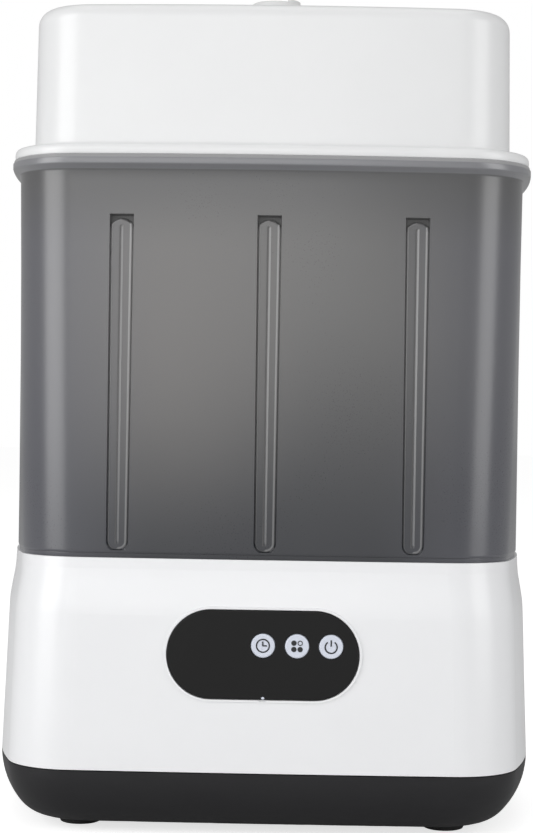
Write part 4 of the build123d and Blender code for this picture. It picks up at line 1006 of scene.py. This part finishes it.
@dataclass(frozen=True)
class Stack:
    """The heights and plan sizes that the shells share."""

    seam_z: float = 30.7
    deck_z: float = 128.8
    rim_z: float = 315.9
    lid_z: float = 388.5
    half_width: float = 132.0
    half_depth: float = 106.0
    base_side_r: float = 278.0
    corner_r: float = 33.0
    draft: float = 0.0384
    shoulder_step: float = 2.2
    sleeve_height: float = 187.1
    sleeve_step: float = 0.6
    sleeve_flare: float = 1.5
    sleeve_wall: float = 2.4
    sleeve_narrowing: float = 2.8
    sleeve_front_r: float = 1900.0
    rim_out: float = 3.6
    rim_front_r: float = 1160.0
    rim_side_r: float = 600.0
    lid_inset: float = 12.2
    lid_narrowing: float = 2.4
    lid_corner_r: float = 30.0

    def shell(self, z: float, inset: float, narrowing: float, radii: Point) -> Outline:
        """Return the outline inside the widest one, with the radii of front, ends and corners."""
        return Outline(z, self.half_width - inset - narrowing, self.half_depth - inset, *radii)

    def sleeve(self, z: float) -> Outline:
        """Shape the sleeve's outside at one height.

        Args:
            z: The height.

        Returns:
            Its outline.
        """
        share = (z - self.deck_z) / self.sleeve_height
        housing = self.draft * (self.deck_z - self.seam_z) + self.shoulder_step
        fronts = (self.sleeve_front_r, self.rim_front_r)
        sides = (self.base_side_r, self.rim_side_r)
        front_r, side_r = (
            1 / (1 / low + (1 / high - 1 / low) * share) for low, high in (fronts, sides)
        )
        inset = housing + self.sleeve_step - self.sleeve_flare * share
        return self.shell(z, inset, self.sleeve_narrowing * share, (front_r, side_r, self.corner_r))

    def rim(self) -> Outline:
        """Return the outline of the sleeve's rim band."""
        return self.sleeve(self.rim_z).inward(-self.rim_out)


@dataclass
class Sleeve:
    """The smoke chamber: pressed channels, rim band and foot step."""

    stack: Stack
    finishes: Finishes
    channels: tuple[Channel, ...] = tuple(Channel(step * Channel.pitch) for step in (-1, 0, 1))
    gaps: tuple[float, ...] = (15.0, 26.0, 33.85, 41.0, 52.0, 80.0)
    channel_reach: float = 11.0
    pressed_x: float = 79.0
    pressed_y: float = 80.0
    row: float = 0.35
    low_start: float = 2.6
    low_rows: int = 30
    high_start: float = 7.0
    high_rows: int = 28
    middle_rows: int = 30
    side_steps: int = 12
    corner_steps: int = 14
    foot_height: float = 2.2
    foot_rise: float = 1.2
    band_height: float = 6.8
    band_full: float = 4.5
    edge: float = 1.7
    edge_step: Plan = (0.3, 0.15)
    top_step: Plan = (0.6, 0.35)
    top_inset: float = 1.1
    outer_run: float = 6.0
    inner_run: float = 8.0

    def fronts(self, z: float) -> list[float]:
        """Return the places of the points along the front at a height."""
        places = [place for channel in self.channels for place in channel.columns(z)]
        return sorted(places + [side * gap for gap in self.gaps for side in (-1, 1)])

    def heights(self) -> list[float]:
        """Place the pressed rings, close together at the channels' ends.

        Returns:
            Their heights.
        """
        channel = self.channels[0]
        low_z, high_z = channel.bottom_z - self.low_start, channel.top_z - self.high_start
        low = [low_z + step * self.row for step in range(self.low_rows)]
        high = [high_z + step * self.row for step in range(self.high_rows)]
        run = high[0] - low[-1]
        middle = [low[-1] + run * step / self.middle_rows for step in range(1, self.middle_rows)]
        start = self.stack.deck_z + self.foot_height + self.foot_rise
        return [z for z in low + middle + high if z > start]

    def plain(self, outline: Outline) -> list[Point]:
        """Return an outline as a ring of the wall."""
        fronts = self.fronts(outline.z)
        return outline.ring(lambda _: fronts, self.side_steps, self.corner_steps)

    def pressed(self, outline: Outline, outer: bool) -> list[Point]:
        """Return an outline as a ring of the wall with the channels pressed into it.

        Args:
            outline: The outline.
            outer: Whether it is on the outside of the wall.

        Returns:
            The ring.
        """
        moved = []
        for x, y, z in self.plain(outline):
            shift = 0.0
            if abs(x) < self.pressed_x and abs(y) > self.pressed_y:
                for channel in self.channels:
                    if abs(x - channel.x) < self.channel_reach:
                        shift = channel.height(x, z) if outer else -channel.pad(x, z)
            moved.append((x, y + (shift if y > 0 else -shift), z))
        return moved

    def build(self) -> None:
        """Build the wall and dress it."""
        stack = self.stack
        wall = stack.sleeve_wall
        foot = stack.sleeve(stack.deck_z).inward(stack.sleeve_step)
        foot_top = stack.deck_z + self.foot_height
        rim = stack.rim()
        rim_z = stack.rim_z
        under_z = rim_z - self.band_height
        edge_z = rim_z - self.edge
        edge_in, edge_up = self.edge_step
        top_in, top_down = self.top_step
        foot_turns = (
            Turn(foot.inward(wall - stack.sleeve_step)),
            Turn(foot, 0.3, 2),
            Turn(foot.at(foot_top), 0.1, 1),
            Turn(stack.sleeve(foot_top), 0.3, 2),
            Turn(stack.sleeve(foot_top + self.foot_rise)),
        )
        rim_turns = (
            Turn(stack.sleeve(under_z - self.outer_run)),
            Turn(stack.sleeve(under_z), 1.2, 3),
            Turn(rim.at(rim_z - self.band_full), 0.8, 4),
            Turn(rim.at(edge_z), 0.08, 1),
            Turn(rim.inward(edge_in).at(edge_z + edge_up), 0.08, 1),
            Turn(rim.inward(top_in).at(rim_z - top_down), 0.2, 2),
            Turn(rim.inward(self.top_inset), 0.3, 2),
            Turn(stack.sleeve(rim_z).inward(wall), 0.6, 3),
            Turn(stack.sleeve(rim_z - self.inner_run).inward(wall)),
        )
        heights = self.heights()
        rings = [self.plain(outline) for outline in soften(foot_turns)]
        rings += [self.pressed(stack.sleeve(z), True) for z in heights]
        rings += [self.plain(outline) for outline in soften(rim_turns)]
        rings += [self.pressed(stack.sleeve(z).inward(wall), False) for z in reversed(heights)]
        skin = skin_between(rings, closed=True)
        piece = object_from("sleeve_wall", skin, self.finishes["smoke_wall"], 40.0)
        place_piece(piece, Body.SLEEVE, Slot.SMOKE, "chamber_sleeve")


@dataclass(frozen=True)
class Stroke:
    """One printed stroke on a flat face: its middle line, its width and whether its ends meet."""

    line: Sequence[Plan]
    width: float
    closed: bool = False
    sunk: float = 0.13
    proud: float = 0.03

    @staticmethod
    def arc(centre: Plan, radius: float, start: float, stop: float, steps: int) -> list[Plan]:
        """Return the points of an arc, its angles in degrees from straight right."""
        angles = [radians(start + (stop - start) * step / steps) for step in range(steps + 1)]
        return around(centre, radius, angles)

    @classmethod
    def circle(cls, centre: Plan, radius: float, width: float, steps: int) -> "Stroke":
        """Return a round stroke."""
        return cls(cls.arc(centre, radius, 0, 360, steps)[:-1], width, True)

    def skin(self, level: float, centre: Plan = (0.0, 0.0)) -> Skin:
        """Give the stroke its body.

        Args:
            level: The height of the face that it is printed on.
            centre: Where the stroke's own zero is on that face.

        Returns:
            The points and the faces.
        """
        low, high = level - self.sunk, level + self.proud
        last = len(self.line) - 1
        sections: list[list[Point]] = []
        for index, (x, y) in enumerate(self.line):
            back = self.line[index - 1 if self.closed else max(0, index - 1)]
            ahead = self.line[(index + 1) % (last + 1) if self.closed else min(last, index + 1)]
            dx, dy = ahead[0] - back[0], ahead[1] - back[1]
            run = hypot(dx, dy)
            nx, ny = -dy / run * self.width / 2, dx / run * self.width / 2
            x, y = x + centre[0], y + centre[1]
            left, right = (x + nx, y + ny), (x - nx, y - ny)
            sections.append([(*left, low), (*left, high), (*right, high), (*right, low)])
        return skin_between(sections, self.closed, not self.closed)


@dataclass
class Lid:
    """The white lid: flange, drafted walls, rounded top, skirt and the vent knob."""

    stack: Stack
    finishes: Finishes
    wall: float = 2.4
    taper: float = 0.9
    hub_r: float = 8.3
    hub_reach: float = 26.0
    crown_reach: float = 9.5
    flange_inset: float = 1.0
    flange_height: float = 5.2
    skirt_inset: float = 2.9
    skirt_drop: float = 6.3
    skirt_wall: float = 1.4
    skirt_rise: float = 1.0
    hollow_rise: float = 3.4
    front_steps: int = 24
    side_steps: int = 16
    corner_steps: int = 14
    open_mark: Stroke = Stroke.circle((17.0, -9.0), 1.5, 0.45, 32)
    shut_mark: Stroke = Stroke.circle((17.0, 9.0), 0.8, 1.55, 24)

    def build(self) -> None:
        """Build the lid, its knob and the marks of the knob's two positions."""
        self.build_shell()
        Formed("vent_knob", "vent_knob_cap", "knob", 0.35, Body.LID, Slot.KNOB).build(self.finishes)
        for name, mark in (("vent_open_mark", self.open_mark), ("vent_shut_mark", self.shut_mark)):
            piece = object_from(name, mark.skin(self.stack.lid_z), self.finishes["knob"])
            place_piece(piece, Body.LID, Slot.KNOB)

    def build_shell(self) -> None:
        """Build the lid's shell as one skin round its section."""
        stack = self.stack
        rim_z, lid_z = stack.rim_z, stack.lid_z
        radii = (stack.rim_front_r, stack.rim_side_r, stack.lid_corner_r)
        wall_low = stack.shell(rim_z, stack.lid_inset, stack.lid_narrowing, radii)
        wall_top = wall_low.inward(self.taper).at(lid_z)
        inner_low = wall_low.inward(self.wall)
        inner_top = inner_low.inward(self.taper).at(lid_z - self.wall)
        flange = stack.rim().inward(self.flange_inset)
        flange_top = rim_z + self.flange_height
        skirt = stack.sleeve(rim_z).inward(self.skirt_inset)
        skirt_in = skirt.inward(self.skirt_wall)
        skirt_low = rim_z - self.skirt_drop
        turns = (
            Turn(wall_top.inward(self.hub_reach)),
            Turn(wall_top.inward(self.crown_reach)),
            Turn(wall_top, 7.5, 10),
            Turn(wall_low.at(flange_top), 2.2, 5),
            Turn(flange.at(flange_top), 2.8, 6),
            Turn(flange, 0.5, 2),
            Turn(skirt, 0.3, 2),
            Turn(skirt.at(skirt_low), 0.4, 2),
            Turn(skirt_in.at(skirt_low), 0.4, 2),
            Turn(skirt_in.at(rim_z + self.skirt_rise), 0.3, 1),
            Turn(inner_low.at(rim_z + self.hollow_rise), 0.6, 2),
            Turn(inner_top, 5.1, 8),
            Turn(inner_top.inward(self.hub_reach)),
        )
        steps = (self.side_steps, self.corner_steps)
        rings = [outline.ring(self.fronts, *steps) for outline in soften(turns)]
        shares = [(self.hub_r / hypot(x, y), x, y) for x, y, _ in rings[0]]
        bore = [[(x * share, y * share, z) for share, x, y in shares] for z in (lid_z, inner_top.z)]
        skin = skin_between([bore[0]] + rings + [bore[1]], closed=True)
        piece = object_from("lid_shell", skin, self.finishes["white_shell"], 50.0)
        place_piece(piece, Body.LID, Slot.WHITE, "lid")

    def fronts(self, reach: float) -> list[float]:
        """Return the places of the points along a front that reaches this far."""
        return [reach * (2 * step / self.front_steps - 1) for step in range(1, self.front_steps)]


@dataclass(frozen=True)
class PanelPlane:
    """The plane of the control panel, and how the buttons stand on it."""

    y: float = -103.896
    z: float = 85.5
    slope: float = 0.0384
    pitch: float = 15.7
    rise: float = 4.3

    def matrix(self) -> Matrix:
        """Work out the turn and place of the plane: x right, y up the plane, z out of it.

        Returns:
            The matrix.
        """
        out = Vector((0.0, -1.0, self.slope)) / hypot(1.0, self.slope)
        right = Vector((1.0, 0.0, 0.0))
        turn = Matrix((right, out.cross(right), out)).transposed().to_4x4()
        turn.translation = Vector((0.0, self.y, self.z))
        return turn

    def lift(self, skin: Skin) -> Skin:
        """Return a skin given on the plane in the frame's own axes."""
        turn = self.matrix()
        return [tuple(turn @ Vector(point)) for point in skin[0]], skin[1]


@dataclass
class Panel:
    """The black lens, the three buttons and their printed marks, and the nub at its lower edge."""

    finishes: Finishes
    plane: PanelPlane = field(default_factory=PanelPlane)
    cap_top: float = 0.5
    cap_steps: int = 72
    cap: tuple[Plan, ...] = (
        (0.01, 0.36), (2.75, 0.4), (4.4, 0.48), (4.95, 0.5), (5.25, 0.44), (5.43, 0.28), (5.5, 0.0),
        (5.5, -2.0), (6.8, -2.0), (6.8, -3.0), (1.8, -3.0), (1.8, -6.2), (0.01, -6.2),
    )
    clock: tuple[Stroke, ...] = (
        Stroke.circle((0.0, 0.0), 2.95, 0.62, 48),
        Stroke(((-0.1, 1.95), (-0.1, 0.05), (-0.04, -0.02), (1.8, -0.02)), 0.62),
    )
    petals: tuple[Stroke, ...] = (
        *(Stroke.circle((1.45 * right, 1.45 * up), 0.62, 1.22, 24)
          for right, up in ((-1, 1), (-1, -1), (1, -1))),
        Stroke.circle((1.45, 1.45), 1.0, 0.38, 28),
    )
    power: tuple[Stroke, ...] = (
        Stroke(Stroke.arc((0.0, -0.2), 2.75, 125, 415, 40), 0.64),
        Stroke(((0.0, 0.2), (0.0, 3.1)), 0.62),
    )
    nub: tuple[Plan, ...] = ((0.01, 0.58), (0.32, 0.56), (0.52, 0.46), (0.6, 0.2), (0.01, 0.2))
    nub_steps: int = 24
    nub_place: Plan = (0.25, -19.77)
    nub_stretch: float = 1.25

    def build(self) -> None:
        """Build the lens, the caps, the marks and the nub."""
        lens = Formed("control_panel", "panel_lens", "lens", 0.3, Body.BASE, Slot.LENS)
        lens.build(self.finishes)
        marks = {Body.TIMER: self.clock, Body.MODE: self.petals, Body.POWER: self.power}
        for number, (body, mark) in enumerate(marks.items()):
            centre = (number * self.plane.pitch, self.plane.rise)
            cap = lathe(self.cap, self.cap_steps, centre)
            self.add(f"{body.value}_cap", cap, "button_cap", 40.0, body, body.value)
            skin = joined(stroke.skin(self.cap_top, centre) for stroke in mark)
            self.add(f"{body.value}_mark", skin, "printed_mark", 35.0, body)
        points, faces = lathe(self.nub, self.nub_steps, self.nub_place)
        skin = [(x * self.nub_stretch, y, z) for x, y, z in points], faces
        self.add("panel_nub", skin, "button_cap", 35.0, Body.BASE)

    def add(
        self, name: str, skin: Skin, finish: str, sharp: float, body: Body, *nodes: str
    ) -> None:
        """Build one piece on the panel's plane and place it, in the stead of these CAD nodes."""
        piece = object_from(name, self.plane.lift(skin), self.finishes[finish], sharp)
        place_piece(piece, body, Slot.BUTTON, *nodes)


@dataclass
class Base:
    """The housing, its cover, the feet and what is fixed to them."""

    finishes: Finishes
    formed: tuple[Formed, ...] = (
        Formed("base_housing", "base_shell", "white_base", 0.4, Body.BASE, Slot.WHITE),
        Formed("bottom_cover", "bottom_bowl", "black_cover", 0.4, Body.BASE, Slot.BLACK),
        Formed("outlet_cap", "air_outlet", "white_shell", 0.3, Body.BASE, Slot.WHITE),
        Formed("cord_gland", "cord_bush", "rubber", 0.3, Body.BASE, Slot.RUBBER),
        Formed("feet", "foot_pads", "rubber", 0.8, Body.BASE, Slot.RUBBER),
        Formed("heating_plate", "water_plate", "coated_plate", 0.3, Body.BASE, Slot.PLATE),
    )

    def build(self) -> None:
        """Build every piece."""
        for piece in self.formed:
            piece.build(self.finishes)


@dataclass
class Inside(Base):
    """The rack, the tray, the filter and the nodes that keep their CAD form."""

    formed: tuple[Formed, ...] = (
        Formed("bottle_rack", "rack_frame", "white_matte", 0.4, Body.RACK, Slot.MATTE),
        Formed("accessory_tray", "tray_basket", "white_matte", 0.4, Body.TRAY, Slot.MATTE),
        Formed("filter_cover", "filter_door", "white_base", 0.3, Body.FILTER, Slot.WHITE),
    )
    dressed: tuple[tuple[str, ...], ...] = (
        ("zinc_steel", "housing_screws", "clamp_ring", "clamp_nuts", "board_screws", "motor_shaft"),
        ("seal", "plate_seal"),
        ("cast_metal", "steam_element"),
        ("phenolic", "thermostats"),
        ("circuit_board", "control_board", "power_board"),
        ("dark_part", "key_switches", "power_components"),
        ("display", "display_module"),
        ("duct_grey", "blower_housing", "blower_cover", "impeller", "air_duct"),
        ("motor_can", "blower_motor"),
        ("mica_board", "heater_frame"),
        ("heater_fins", "heater_core"),
        ("white_matte", "vent_clip"),
        ("filter_foam", "filter_pad"),
    )

    def build(self) -> None:
        """Build the formed pieces and dress the nodes that keep their form."""
        super().build()
        for finish, *nodes in self.dressed:
            for node in nodes:
                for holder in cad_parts[node].material_slots:
                    holder.material = self.finishes[finish]
                log.info("%s keeps its form, finish %s", node, finish)


@dataclass(frozen=True)
class Lamp:
    """One soft box: its name, place, width and height, power in watts and what it faces."""

    name: str
    place: Point
    size: Plan
    watts: float
    target: Point = (0.0, 0.0, 0.2)

    def build(self) -> None:
        """Hang the soft box."""
        data = bpy.data.lights.new(self.name, "AREA")
        data.shape = "RECTANGLE"
        data.size, data.size_y = self.size
        data.energy = self.watts
        lamp = stand(self.name, data)
        lamp.location = self.place
        way = Vector(self.target) - Vector(self.place)
        lamp.rotation_euler = way.to_track_quat("-Z", "Y").to_euler()


@dataclass
class Studio:
    """The pale floor, the soft lamps and the camera."""

    camera: Point = (0.01415, -1.006, 0.19535)
    yaw: float = 0.9
    roll: float = 0.9
    focal_px: float = 1959.9
    frame_px: float = 833.0
    sensor: float = 36.0
    clip: float = 0.01
    floor_corners: tuple[Point, ...] = ((-6, -4, 0), (6, -4, 0), (6, 10, 0), (-6, 10, 0))
    floor_grey: float = 0.74
    floor_glow: float = 0.7
    room_light: float = 0.38
    lamps: tuple[Lamp, ...] = (
        Lamp("front_box", (-0.5, -2.4, 1.0), (1.8, 1.6), 12.0),
        Lamp("left_box", (-1.5, -1.02, 0.6), (1.1, 1.8), 19.0),
        Lamp("right_box", (1.6, -0.9, 0.6), (0.95, 1.8), 12.5),
        Lamp("top_box", (0.0, 0.3, 2.2), (1.6, 1.6), 5.0),
    )

    def build(self) -> None:
        """Set up the whole studio."""
        self.build_floor()
        self.build_world()
        for lamp in self.lamps:
            lamp.build()
        self.build_camera()
        bpy.context.scene.view_settings.view_transform = "Standard"

    def build_floor(self) -> None:
        """Lay the floor: a wide white sheet that keeps the object's shadow."""
        board = NodeBoard("studio_floor")
        seen = Value(board, board.node("LightPath").outputs["Is Camera Ray"])
        matt = board.node("BsdfDiffuse", inputs={"Color": (*[self.floor_grey] * 3, 1.0)})
        glow = board.node("Emission", inputs={"Color": WHITE_LIGHT, "Strength": self.floor_glow})
        both = board.node("AddShader", inputs={0: matt.outputs[0], 1: glow.outputs[0]})
        shader = board.node("MixShader", inputs={0: seen, 1: matt.outputs[0], 2: both.outputs[0]})
        board.node("OutputMaterial", inputs={"Surface": shader.outputs[0]})
        mesh = bpy.data.meshes.new("studio_floor")
        mesh.from_pydata(self.floor_corners, [], [(0, 1, 2, 3)])
        mesh.materials.append(board.made)
        floor = stand("studio_floor", mesh)

    def build_world(self) -> None:
        """Fill the room with even light and a white background."""
        board = NodeBoard("studio_world", world=True)
        path = board.node("LightPath").outputs
        eye, through = (Value(board, path[f"Is {kind} Ray"]) for kind in ("Camera", "Transmission"))
        room = board.node("Background", inputs={"Color": WHITE_LIGHT, "Strength": self.room_light})
        paper = board.node("Background", inputs={"Color": WHITE_LIGHT, "Strength": 1.0})
        mixed = {0: eye.or_more(through), 1: room.outputs[0], 2: paper.outputs[0]}
        shader = board.node("MixShader", inputs=mixed)
        board.node("OutputWorld", inputs={"Surface": shader.outputs[0]})
        bpy.context.scene.world = board.made

    def build_camera(self) -> None:
        """Stand the camera where the photograph was taken from."""
        data = bpy.data.cameras.new("studio_camera")
        data.sensor_width = self.sensor
        data.lens = self.focal_px * self.sensor / self.frame_px
        data.clip_start = self.clip
        camera = stand("studio_camera", data)
        turns = ((self.yaw, "Z"), (90.0, "X"), (self.roll, "Z"))
        pose = Matrix.Translation(self.camera)
        for degrees, axis in turns:
            pose = pose @ Matrix.Rotation(radians(degrees), 4, axis)
        camera.matrix_world = pose
        bpy.context.scene.camera = camera


def main() -> None:
    """Build the studio and every sub-assembly, in order."""
    logging.basicConfig(level=logging.INFO, format="%(name)s: %(message)s")
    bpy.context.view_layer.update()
    Studio().build()
    finishes = {finish.name: finish.material() for finish in FINISHES}
    stack = Stack()
    for part in (Base(finishes), Panel(finishes), Sleeve(stack, finishes), Lid(stack, finishes),
                 Inside(finishes)):
        part.build()
        log.info("%s built", type(part).__name__)


if __name__ == "__main__":
    main()
